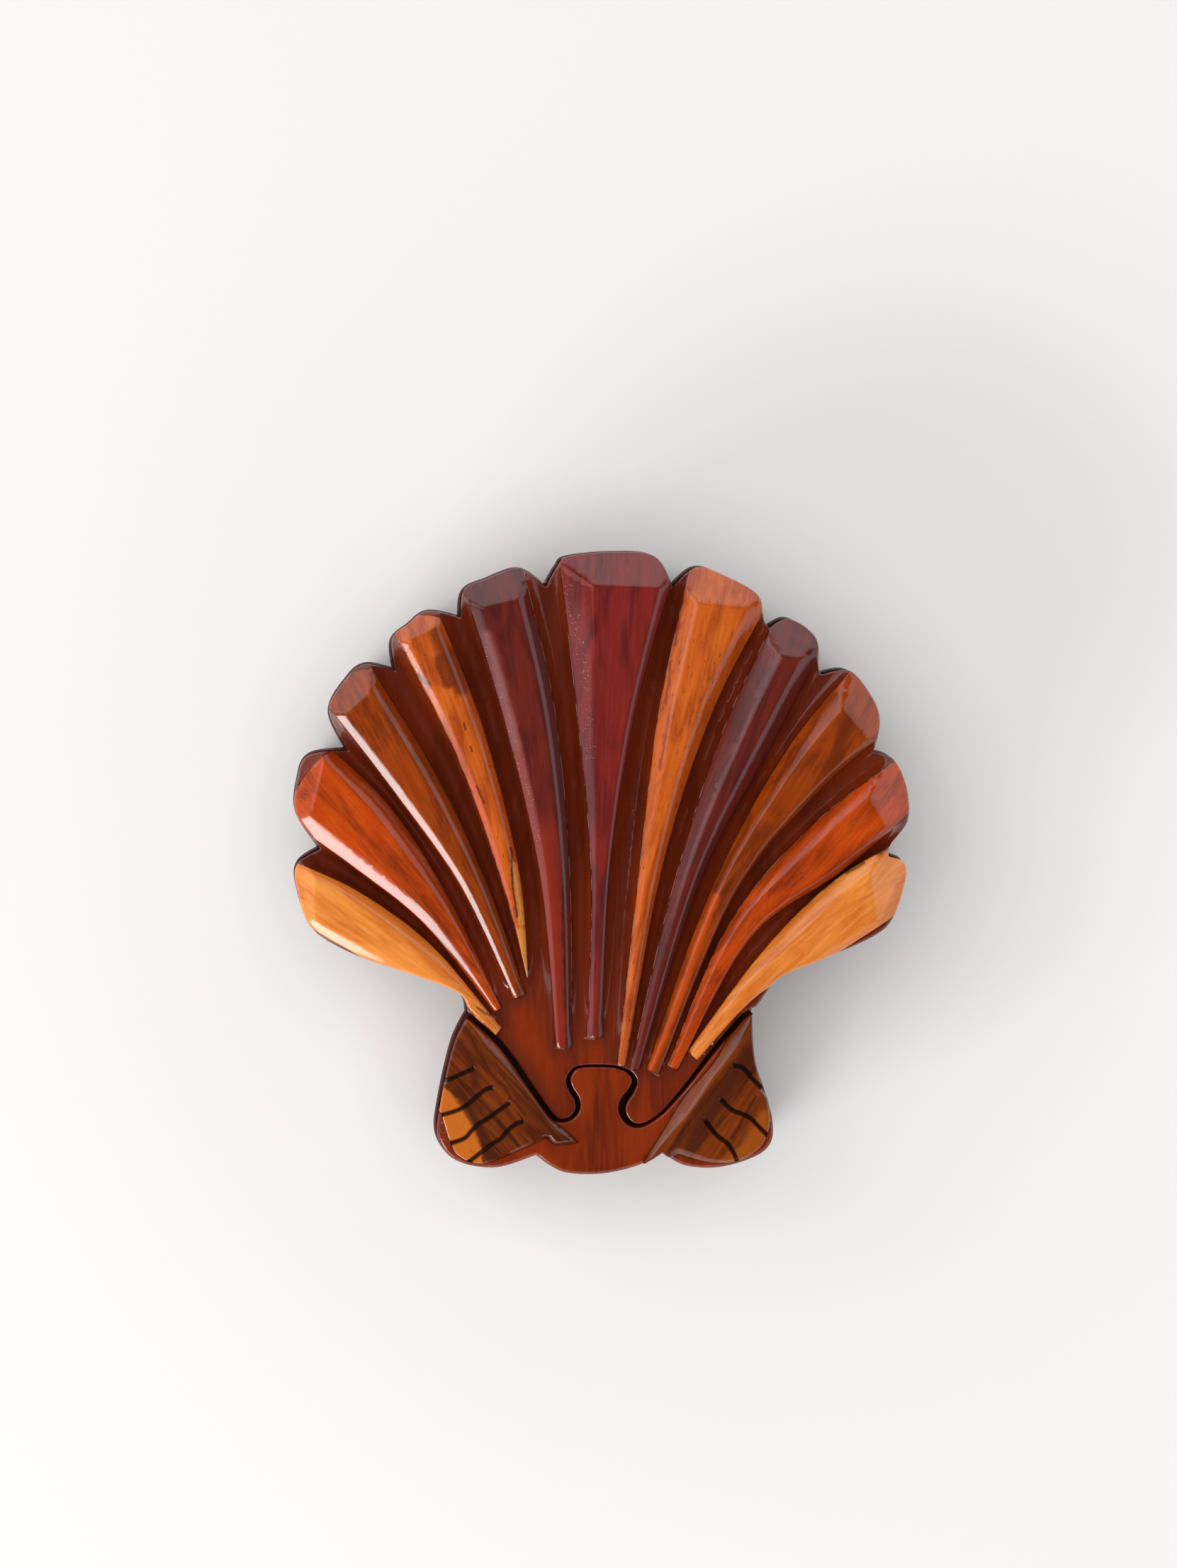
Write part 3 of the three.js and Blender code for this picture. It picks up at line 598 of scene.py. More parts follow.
def lid_height(points):
    radius, angle = polar(points)
    edges = [edge for rib in ribs for edge in (rib.left, rib.right)]
    angles = np.maximum.accumulate([edge.angle_at(radius) for edge in edges], axis=0)
    strip = (angles <= angle).sum(axis=0)
    z = np.zeros(len(points))
    for i, rib in enumerate(ribs):
        own = strip == 2 * i + 1
        across, along, width = rib.place(radius[own], angle[own])
        left_foot, right_foot = rib.feet(radius[own])
        side = np.minimum(np.where(across < 0.5, left_foot, right_foot), rib.bevel_height(points[own]))
        on_side = np.minimum(across, 1 - across) * width < ON_EDGE
        z[own] = np.where(on_side, side, np.where(along < TIP_SHARE, rib.height(points[own]), 0))
        if i:
            own = strip == 2 * i
            z[own] = groove_height(ribs[i - 1], rib, points[own])
    own = strip == 0
    z[own] = outer_height(ribs[0], ribs[0].left, points[own])
    own = strip == len(edges)
    z[own] = outer_height(ribs[-1], ribs[-1].right, points[own])
    return z


# The ears' form.


class Ear:
    def __init__(self, table):
        self.name = table["name"]
        self.loop = closed_outline(table["runs"], OUTLINE_STEP)
        self.lower = [walk(plan(joined(table["runs"])[run]), OUTLINE_STEP) for run in table["lower"]]
        self.lower_slope = table["lower_slope"]
        self.ridge = walk(plan(table["ridge"]), OUTLINE_STEP)
        self.cuts = [walk(plan(cut), SAW_STEP) for cut in table["cuts"]]
        middle = self.loop.mean(axis=0)
        self.turn = 1 if signed_distance(middle[None, :], self.ridge)[0] > 0 else -1
        axis = self.ridge[-1] - self.ridge[0]
        self.axis = axis / np.hypot(*axis)

    def height(self, points):
        inward = self.turn * signed_distance(points, self.ridge)
        z = blend_min(EAR_CREST - EAR_FALL * inward, EAR_CREST + RIDGE_SLOPE * inward, FACET_BLEND)
        z = blend_min(z, LOWER_FOOT + self.lower_slope * distances(points, self.lower), FACET_BLEND)
        nearness = distances(points, self.cuts) / (CUT_WIDTH / 2)
        return z - CUT_DEPTH * np.clip(1 - nearness**2, 0, 1)

    def rows(self):
        rows = [self.ridge + side_normals(self.ridge) * shift for shift in RIDGE_OFFSETS]
        for run in self.lower:
            for shift in LOWER_OFFSETS:
                moved = run + side_normals(run) * shift
                if inside(moved[len(moved) // 2][None, :], self.loop)[0]:
                    rows.append(moved)
        for cut in self.cuts:
            normals = side_normals(cut)
            rows += [cut + normals * CUT_WIDTH / 2 * share for share in CUT_SPOTS]
        return rows


ears = [Ear(table) for table in EARS]

# The plan: every line that the surface turns on, in one triangulation.

outline = closed_outline(OUTLINE_RUNS, OUTLINE_STEP)
outline_normals = loop_normals(outline)
valley_radius = min(np.hypot(*plan(run[0])) for run in OUTLINE_RUNS if run[0][1] > 0)

saw = walk(np.array([(*plan((x, y)), width) for x, y, width in SAW_LINE]), SAW_STEP)
saw_normals = side_normals(saw[:, :2])
saw_upper = saw[:, :2] + saw_normals * saw[:, 2:] * KERF / 2
saw_lower = saw[:, :2] - saw_normals * saw[:, 2:] * KERF / 2


def below_saw(edge):
    far = SHELL_WIDTH
    return np.concatenate([edge, [(far, edge[-1, 1]), (far, -far), (-far, -far), (-far, edge[0, 1])]])


def cavity_outline(inset):
    half_width = valley_radius - WALL_THICKNESS - inset
    half_length = half_width - CAVITY_SHIFT
    turn = np.linspace(0, 2 * math.pi, CAVITY_SIDES, endpoint=False)
    return np.stack([half_width * np.cos(turn), CAVITY_SHIFT + half_length * np.sin(turn)], axis=1)


lip = cavity_outline(LIP_CLEARANCE)


def close(loop):
    return np.concatenate([loop, loop[:1]])


def bevel_rows(rib):
    start, end = rib.bevel
    length = np.hypot(*(end - start))
    along = (end - start) / length
    reach = np.linspace(-BEVEL_OVERRUN, length + BEVEL_OVERRUN, BEVEL_STEPS + 1)[:, None]
    return [start + along * reach + rib.outward * shift for shift in BEVEL_OFFSETS]


def plan_lines():
    lines = [close(outline), saw_upper, saw_lower, close(lip)]
    lines += [close(outline - outline_normals * shift) for shift in RIM_OFFSETS]
    lines += [saw_upper + saw_normals * shift for shift in SAW_OFFSETS]
    lines += [saw_lower - saw_normals * shift for shift in SAW_OFFSETS]
    for rib in ribs:
        lines += [rib.tip, rib.left.line, rib.right.line, np.stack([rib.left.line[-1], rib.right.line[-1]])]
        lines += rib.rows()
        lines += bevel_rows(rib)
    for left_rib, right_rib in zip(ribs, ribs[1:]):
        lines += groove_rows(left_rib, right_rib)
    for ear in ears:
        lines.append(close(ear.loop))
        lines += ear.rows()
    return lines


def lattice(lines):
    """Loose points between the lines, where the surface is nearly flat."""
    taken = kdtree.KDTree(sum(len(line) for line in lines))
    for line in lines:
        for x, y in line:
            taken.insert((x, y, 0), 0)
    taken.balance()
    points = []
    reach = SHELL_WIDTH / 2
    for i, y in enumerate(np.arange(-reach, reach, LATTICE * 0.87)):
        for x in np.arange(-reach, reach, LATTICE) + LATTICE / 2 * (i % 2):
            if taken.find((x, y, 0))[2] > CLEARANCE:
                points.append((x, y))
    return np.array(points)


def triangulate(lines, loose):
    corners = []
    edges = []
    for line in lines:
        first = len(corners)
        corners += [Vector(point) for point in line]
        edges += [(first + i, first + i + 1) for i in range(len(line) - 1)]
    corners += [Vector(point) for point in loose]
    points, _, faces, _, _, _ = delaunay_2d_cdt(corners, edges, [], 0, 1e-4, False)
    points = np.array([tuple(point) for point in points])
    faces = np.array([tuple(face) for face in faces])
    a, b, c = (points[faces[:, i]] for i in range(3))
    area = (b[:, 0] - a[:, 0]) * (c[:, 1] - a[:, 1]) - (b[:, 1] - a[:, 1]) * (c[:, 0] - a[:, 0])
    faces[area < 0] = faces[area < 0][:, ::-1]
    return points, faces[np.abs(area) > 1e-7]


lines = plan_lines()
points, faces = triangulate(lines, lattice(lines))
centres = points[faces].mean(axis=1)
in_shell = inside(centres, outline)
in_key = in_shell & inside(centres, below_saw(saw_lower))
in_lid = in_shell & ~inside(centres, below_saw(saw_upper))
in_ribs = [in_lid & inside(centres, rib.footprint()) for rib in ribs]
in_ears = [in_key & inside(centres, ear.loop) for ear in ears]

glue_lines = [close(rib.footprint()) for rib in ribs] + [close(ear.loop) for ear in ears]
to_glue = distances(points, glue_lines)
to_saw = distances(points, [saw_upper, saw_lower])
to_rim = distances(points, [close(outline)])


def eased(distance, ease):
    width, drop = ease
    return drop * np.clip(1 - distance / width, 0, 1) ** 2


shared_ease = eased(to_glue, GLUE_EASE) + eased(to_saw, KERF_EASE)


# Solids from parts of the plan. Each face of the plan has a level above and one below it.


def make_solid(name, chosen, top, bottom, levels, grain, extra=None):
    own_faces = faces[chosen]
    top, bottom = top[chosen], bottom[chosen]
    index = {}
    coords = []
    edge_values = []
    sources = []

    def corner(vertex, level):
        key = (vertex, level)
        if key not in index:
            index[key] = len(coords)
            coords.append((points[vertex, 0], points[vertex, 1], levels[level][vertex]))
            edge_values.append(to_glue[vertex] if level == "surface" else FAR_FROM_GLUE)
            sources.append(vertex)
        return index[key]

    polygons = []
    owner = {}
    for f, (a, b, c) in enumerate(own_faces.tolist()):
        polygons.append([corner(vertex, top[f]) for vertex in (a, b, c)])
        polygons.append([corner(vertex, bottom[f]) for vertex in (c, b, a)])
        owner[a, b] = owner[b, c] = owner[c, a] = f
    for (u, v), f in owner.items():
        g = owner.get((v, u))
        if g is None:
            walls = [(bottom[f], top[f])]
        else:
            walls = []
            if top[f] != top[g] and levels[top[f]][u] > levels[top[g]][u]:
                walls.append((top[g], top[f]))
            if bottom[f] != bottom[g] and levels[bottom[f]][u] < levels[bottom[g]][u]:
                walls.append((bottom[f], bottom[g]))
        for low, high in walls:
            polygons.append([corner(u, low), corner(v, low), corner(v, high), corner(u, high)])
    piece = mesh_piece(name, np.array(coords), polygons, np.array(edge_values), grain)
    for title, values in (extra or {}).items():
        store(piece.data, title, values[sources])
    return piece


def store(mesh, title, values):
    """Stores a number or a vector for each corner of a mesh, for its material to read."""
    kind, key = ("FLOAT_VECTOR", "vector") if values.ndim == 2 else ("FLOAT", "value")
    mesh.attributes.new(title, kind, "POINT").data.foreach_set(key, values.ravel())


def add_object(name, data):
    made = bpy.data.objects.new(name, data)
    bpy.context.scene.collection.objects.link(made)
    return made


def mesh_piece(name, coords, polygons, edge_values, grain):
    """A mesh object of a piece. grain is where its grain starts in plan and the way it runs."""
    start, along = grain
    mesh = bpy.data.meshes.new(name)
    placed = (coords + (*PLAN_SHIFT, 0)) * MILLIMETRE
    mesh.from_pydata(placed.tolist(), [], polygons)
    mesh.update()
    across = np.array([along[1], -along[0]])
    from_start = coords[:, :2] - start
    run = np.stack([from_start @ across, from_start @ np.asarray(along), coords[:, 2] - LID_TOP], axis=1)
    store(mesh, "grain", run)
    store(mesh, "edge", edge_values)
    store(mesh, "plan", np.column_stack([coords[:, :2], np.zeros(len(coords))]))
    mesh.polygons.foreach_set("use_smooth", [True] * len(mesh.polygons))
    mesh.set_sharp_from_angle(angle=math.radians(SHARP_ANGLE))
    piece = add_object(name, mesh)
    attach(piece, "root")
    return piece


def plane(height):
    return np.full(len(points), float(height))


def labels(value):
    return np.full(len(faces), value, dtype=object)


def make_inlay(name, chosen, height, grain, extra):
    """A rib or an ear, let into the wood round it."""
    surface = LID_TOP + height - shared_ease - eased(to_rim, RIM_EASE)
    levels = {"surface": surface, "floor": plane(INLAY_FLOOR)}
    return make_solid(name + "_wood", chosen, labels("surface"), labels("floor"), levels, grain, extra)


def make_rib(rib, chosen):
    start = (rib.left.line[0] + rib.right.line[0]) / 2
    across, along = rib.place(*polar(points))[:2]
    shoulder = rib.shares(along)[1]
    # Painted shade: how far each corner lies into the rib's right flank, which its material darkens.
    flank = np.clip((across - shoulder) / (SHADED_FLANK_SOFTNESS * (1 - shoulder)), 0, 1)
    extra = {"across": across, "flank": flank}
    return make_inlay(rib.name, chosen, rib.height(points), (start, rib.axis), extra)


def make_ear(ear, chosen):
    own = np.unique(faces[chosen])
    height = plane(0)
    height[own] = ear.height(points[own])
    extra = {"cut": distances(points, ear.cuts)}
    return make_inlay(ear.name, chosen, height, (ear.ridge[0], ear.axis), extra)


def make_lid():
    pockets = np.any(in_ribs, axis=0)
    top = labels("surface")
    top[pockets] = "pocket"
    bottom = labels("under")
    bottom[inside(centres, lip)] = "lip"
    levels = {
        "surface": LID_TOP + lid_height(points) - shared_ease - eased(to_rim, RIM_EASE),
        "pocket": plane(INLAY_FLOOR),
        "under": plane(BODY_HEIGHT),
        "lip": plane(BODY_HEIGHT - LIP_DEPTH),
    }
    return make_solid("shell_lid_wood", in_lid, top, bottom, levels, (hub, (0, 1)))


def make_key():
    pockets = np.any(in_ears, axis=0)
    top = labels("surface")
    top[pockets] = "pocket"
    levels = {
        "surface": LID_TOP - shared_ease - eased(to_rim, KEY_EASE),
        "pocket": plane(INLAY_FLOOR),
        "under": plane(BODY_HEIGHT),
    }
    return make_solid("key_piece_wood", in_key, top, labels("under"), levels, (hub, (0, 1)))


def band(first, count):
    """The faces between a ring of corners and the ring that follows it."""
    pairs = [(first + i, first + (i + 1) % count) for i in range(count)]
    return [[a, b, b + count, a + count] for a, b in pairs]


def make_body():
    """The body in rings: up the outside, over the top to the cavity, and down to its floor."""
    grown = outline + outline_normals * BODY_MARGIN
    apart = distances(grown, [close(outline)]) > CROSSED * BODY_MARGIN
    base, normals = outline[apart], outline_normals[apart]
    cavity = cavity_outline(0)
    middle = np.array([0, CAVITY_SHIFT])

    def ring(loop, z):
        return [(x, y, z) for x, y in loop]

    def around(margin, z):
        return ring(base + normals * margin + BODY_SHIFT, z)

    rings = [
        around(BODY_MARGIN - BASE_CHAMFER, 0),
        around(BODY_MARGIN, BASE_CHAMFER),
        around(BODY_MARGIN, BODY_HEIGHT - BODY_EASE),
        around(BODY_MARGIN - BODY_EASE, BODY_HEIGHT),
    ]
    inner_rings = [ring(cavity, BODY_HEIGHT)]
    for rise, share in CAVITY_FILLET:
        inner_rings.append(ring(middle + (cavity - middle) * share, FLOOR_THICKNESS + rise))
    size, count = len(base), len(cavity)
    brim, mouth = 3 * size, 4 * size
    coords = np.array([point for loop in rings + inner_rings for point in loop])
    polygons = [face for row in range(3) for face in band(row * size, size)]
    polygons += [face for row in range(3) for face in band(mouth + row * count, count)]

    # The top between the brim and the cavity's mouth.
    corners = [Vector(point[:2]) for point in rings[-1] + inner_rings[0]]
    edges = [(i, (i + 1) % size) for i in range(size)]
    edges += [(size + i, size + (i + 1) % count) for i in range(count)]
    flat, _, triangles, origin, _, _ = delaunay_2d_cdt(corners, edges, [], 0, 1e-5, True)
    flat = np.array([tuple(point) for point in flat])
    middles = np.array([flat[list(triangle)].mean(axis=0) for triangle in triangles])
    on_top = inside(middles, coords[brim:mouth, :2]) & ~inside(middles, cavity)
    own = [brim + sources[0] for sources in origin]
    polygons += [[own[i] for i in triangle] for triangle, keep in zip(triangles, on_top) if keep]

    polygons.append(list(range(size))[::-1])
    polygons.append([mouth + 3 * count + i for i in range(count)])
    edge_values = np.full(len(coords), FAR_FROM_GLUE)
    return mesh_piece("box_body_wood", coords, polygons, edge_values, ((0, 0), (1, 0)))


# The light: two windows, each with its azimuth, distance, sill, size and power, a fill light, the room's
# brightness from the horizon up and overhead, how it changes across the picture, and the floor.
WINDOWS = [
    dict(name="low_window", azimuth=221, distance=1.6, sill=0.5, size=(1.0, 0.36), power=14),
    dict(name="high_window", azimuth=150, distance=1.7, sill=0.8, size=(1.3, 1.3), power=6),
]
WINDOW_COLOUR = (1.0, 0.985, 0.96)
FILL_HEIGHT = 2.0
FILL_SIZE = (2.2, 2.2)
FILL_POWER = 27
FILL_COLOUR = (1.0, 0.99, 0.97)
ROOM_COLOUR = (0.94, 0.95, 1.0, 1)
ROOM_FADE = (0.34, 0.66)
ROOM_LOW = 1.25
ROOM_HIGH = 0.04
ROOM_LEFT = (-0.8, 0.6, 0)
ROOM_SIDES = (0.88, 1.15)
ROOM_DIM = (-0.966, 0.259, 0)
ROOM_DIM_FADE = (0.84, 0.97)
ROOM_DIM_SHARE = 0.35
FLOOR_COLOUR = (0.92, 0.915, 0.9, 1)
FLOOR_REACH = 3.0
FLOOR_ROUGHNESS = 0.8
FLOOR_SPECULAR = 0.2

# The camera looks straight down at a point of the plan, in millimetres.
VIEW_CENTRE = (-3.0, 16.75)
CAMERA_HEIGHT = 0.80
FRAME_HEIGHT = 0.3324
SENSOR = 36.0


def add_camera():
    camera = bpy.data.cameras.new("camera")
    camera.sensor_width = SENSOR
    camera.lens = SENSOR * (CAMERA_HEIGHT - LID_TOP * MILLIMETRE) / FRAME_HEIGHT
    holder = add_object("camera", camera)
    x, y = ((place + shift) * MILLIMETRE for place, shift in zip(VIEW_CENTRE, PLAN_SHIFT))
    holder.location = (x, y, CAMERA_HEIGHT)
    bpy.context.scene.camera = holder


def add_light(name, size, power, colour):
    light = bpy.data.lights.new(name, "AREA")
    light.shape = "RECTANGLE"
    light.size, light.size_y = size
    light.energy = power
    light.color = colour
    return add_object(name, light)


def add_window(name, azimuth, distance, sill, size, power):
    """A pane that faces the box from its azimuth, from its sill upwards."""
    holder = add_light(name, size, power, WINDOW_COLOUR)
    turn = math.radians(azimuth)
    holder.location = (distance * math.cos(turn), distance * math.sin(turn), sill + size[1] / 2)
    holder.rotation_euler = holder.location.to_track_quat("Z", "Y").to_euler()


def add_fill():
    """A soft light straight above that fills the shadows but doesn't show in the varnish."""
    holder = add_light("fill_light", FILL_SIZE, FILL_POWER, FILL_COLOUR)
    holder.location = (0, 0, FILL_HEIGHT)
    holder.visible_glossy = False


def add_floor():
    mesh = bpy.data.meshes.new("floor")
    corners = [(x * FLOOR_REACH, y * FLOOR_REACH, 0) for x, y in ((-1, -1), (1, -1), (1, 1), (-1, 1))]
    mesh.from_pydata(corners, [], [(0, 1, 2, 3)])
    material = bpy.data.materials.new("floor")
    material.use_nodes = True
    shader = material.node_tree.nodes["Principled BSDF"]
    shader.inputs["Base Color"].default_value = FLOOR_COLOUR
    shader.inputs["Roughness"].default_value = FLOOR_ROUGHNESS
    shader.inputs["Specular IOR Level"].default_value = FLOOR_SPECULAR
    mesh.materials.append(material)
    add_object("floor", mesh)


# Nodes.


def node(tree, kind, inputs, **settings):
    made = tree.nodes.new("ShaderNode" + kind)
    for name, value in settings.items():
        setattr(made, name, value)
    for socket, value in inputs.items():
        target = made.inputs[socket]
        if isinstance(value, bpy.types.NodeSocket):
            tree.links.new(value, target)
        else:
            target.default_value = value
    return made


def ramp(tree, value, low, high, start=0.0, end=1.0):
    inputs = {"Value": value, "From Min": low, "From Max": high, "To Min": start, "To Max": end}
    return node(tree, "MapRange", inputs, interpolation_type="SMOOTHSTEP").outputs["Result"]


def combine(tree, operation, first, second):
    return node(tree, "Math", {0: first, 1: second}, operation=operation).outputs[0]


def times(tree, first, second):
    return combine(tree, "MULTIPLY", first, second)


def vectors(tree, operation, first, second, output="Vector"):
    return node(tree, "VectorMath", {0: first, 1: second}, operation=operation).outputs[output]


def attribute(tree, title, output="Fac"):
    return node(tree, "Attribute", {}, attribute_name=title).outputs[output]


def blend(tree, share, first, second):
    return node(tree, "Mix", {0: share, 6: first, 7: second}, data_type="RGBA").outputs[2]


def noise(tree, vector, scale, detail, distortion=0.0):
    stretched = node(tree, "Mapping", {"Vector": vector, "Scale": scale}).outputs["Vector"]
    inputs = {"Vector": stretched, "Scale": 1.0, "Detail": detail, "Distortion": distortion}
    return node(tree, "TexNoise", {**inputs, "Roughness": NOISE_ROUGHNESS}).outputs["Fac"]


def add_room():
    """Pale surroundings, brighter towards the top left of the picture, and a dark ceiling."""
    world = bpy.data.worlds.new("room")
    world.use_nodes = True
    tree = world.node_tree
    direction = node(tree, "TexCoord", {}).outputs["Generated"]
    rise = node(tree, "SeparateXYZ", {0: direction}).outputs["Z"]
    height = ramp(tree, rise, *ROOM_FADE, ROOM_LOW, ROOM_HIGH)
    facing = vectors(tree, "DOT_PRODUCT", direction, ROOM_LEFT, "Value")
    side = ramp(tree, facing, -1.0, 1.0, *ROOM_SIDES)
    dim = vectors(tree, "DOT_PRODUCT", direction, ROOM_DIM, "Value")
    dimmed = ramp(tree, dim, *ROOM_DIM_FADE, 1.0, ROOM_DIM_SHARE)
    background = tree.nodes["Background"]
    background.inputs["Color"].default_value = ROOM_COLOUR
    tree.links.new(times(tree, times(tree, height, side), dimmed), background.inputs["Strength"])
    bpy.context.scene.world = world


def shade(red, green, blue):
    """A colour as seen on a screen, as linear light."""
    def linear(value):
        value /= 255
        return value / 12.92 if value <= 0.04045 else ((value + 0.055) / 1.055) ** 2.4

    return (linear(red), linear(green), linear(blue), 1)


# The woods. bands are the scales across and along the grain, per millimetre, of the broad changes of
# colour; fibre, pores and grit are how strongly the fine grain, the pores and the varnish's roughness show.
Wood = namedtuple("Wood", "base dark light bands fibre pores grit")
WOODS = {
    "pale_yellow_wood": Wood(
        shade(234, 138, 54), shade(208, 108, 34), shade(246, 168, 88), (0.2, 0.05), 0.4, 0.3, 0.15,
    ),
    "orange_red_wood": Wood(
        shade(190, 66, 5), shade(132, 42, 6), shade(212, 92, 18), (0.2, 0.045), 0.4, 0.7, 0.3,
    ),
    "brown_orange_wood": Wood(
        shade(152, 59, 6), shade(108, 41, 8), shade(180, 78, 14), (0.24, 0.06), 0.4, 0.6, 0.2,
    ),
    "streaked_orange_wood": Wood(
        shade(200, 92, 24), shade(162, 64, 14), shade(224, 120, 48), (0.3, 0.07), 0.35, 0.95, 0.2,
    ),
    "purple_brown_wood": Wood(
        shade(104, 34, 26), shade(78, 26, 24), shade(124, 44, 32), (0.2, 0.05), 0.35, 0.2, 0.5,
    ),
    "purple_red_wood": Wood(
        shade(124, 34, 29), shade(88, 26, 26), shade(150, 46, 36), (0.22, 0.05), 0.35, 0.2, 0.5,
    ),
    "striped_ear_wood": Wood(
        shade(118, 48, 8), shade(66, 26, 9), shade(146, 66, 12), (0.34, 0.03), 0.4, 0.5, 0.2,
    ),
    "mahogany": Wood(
        shade(134, 43, 6), shade(98, 30, 8), shade(152, 56, 10), (0.12, 0.03), 0.35, 0.4, 0.2,
    ),
    "dark_body_wood": Wood(
        shade(84, 36, 34), shade(60, 26, 28), shade(104, 50, 48), (0.2, 0.04), 0.4, 0.2, 0.2,
    ),
}
GLUE_COLOUR = shade(40, 20, 14)
PORE_COLOUR = shade(64, 22, 8)
# Painted shade in the lid's grooves, also laid on the lid near the glue lines.
GROOVE_SHADE_COLOUR = shade(88, 33, 20)
CUT_COLOUR = shade(34, 25, 22)
# Pale dust and wear; on the ribs' chamfers its specks are painted glints.
DUST_AND_GLINT_COLOUR = shade(214, 186, 170)

# Marks in the woods: the colour of each stroke, its width and the softness of its edge in millimetres, and
# its points. Some strokes on the ribs are painted shade and painted sheen rather than marks in the wood. A
# stroke without a colour holds only fine bright specks: dust on the key piece, painted glints on the ribs.
DARK_HEART = shade(72, 28, 12)
DARK_PATCH = shade(112, 44, 14)
SAPWOOD = shade(204, 108, 30)
YELLOW_SAPWOOD = shade(208, 132, 54)
RED_RIDGE = shade(200, 82, 32)
RED_HEART = shade(146, 42, 22)
PURPLE_STREAK = shade(128, 46, 34)
LIGHT_EAR = shade(160, 78, 14)
ROOT_DUST = shade(168, 112, 88)
# A painted mauve sheen on a rib's left facet.
MAUVE_RIDGE_SHEEN = shade(128, 66, 62)
RED_CHAMFER = shade(134, 42, 26)
# Painted shade on the ribs' right flanks; the mauve one is a painted sheen as well.
DARK_FLANK_SHADE = shade(74, 27, 22)
MAUVE_FLANK_SHADE_AND_SHEEN = shade(84, 40, 38)
BROWN_FLANK_SHADE = shade(102, 50, 22)
ORANGE_RIDGE = shade(196, 74, 10)
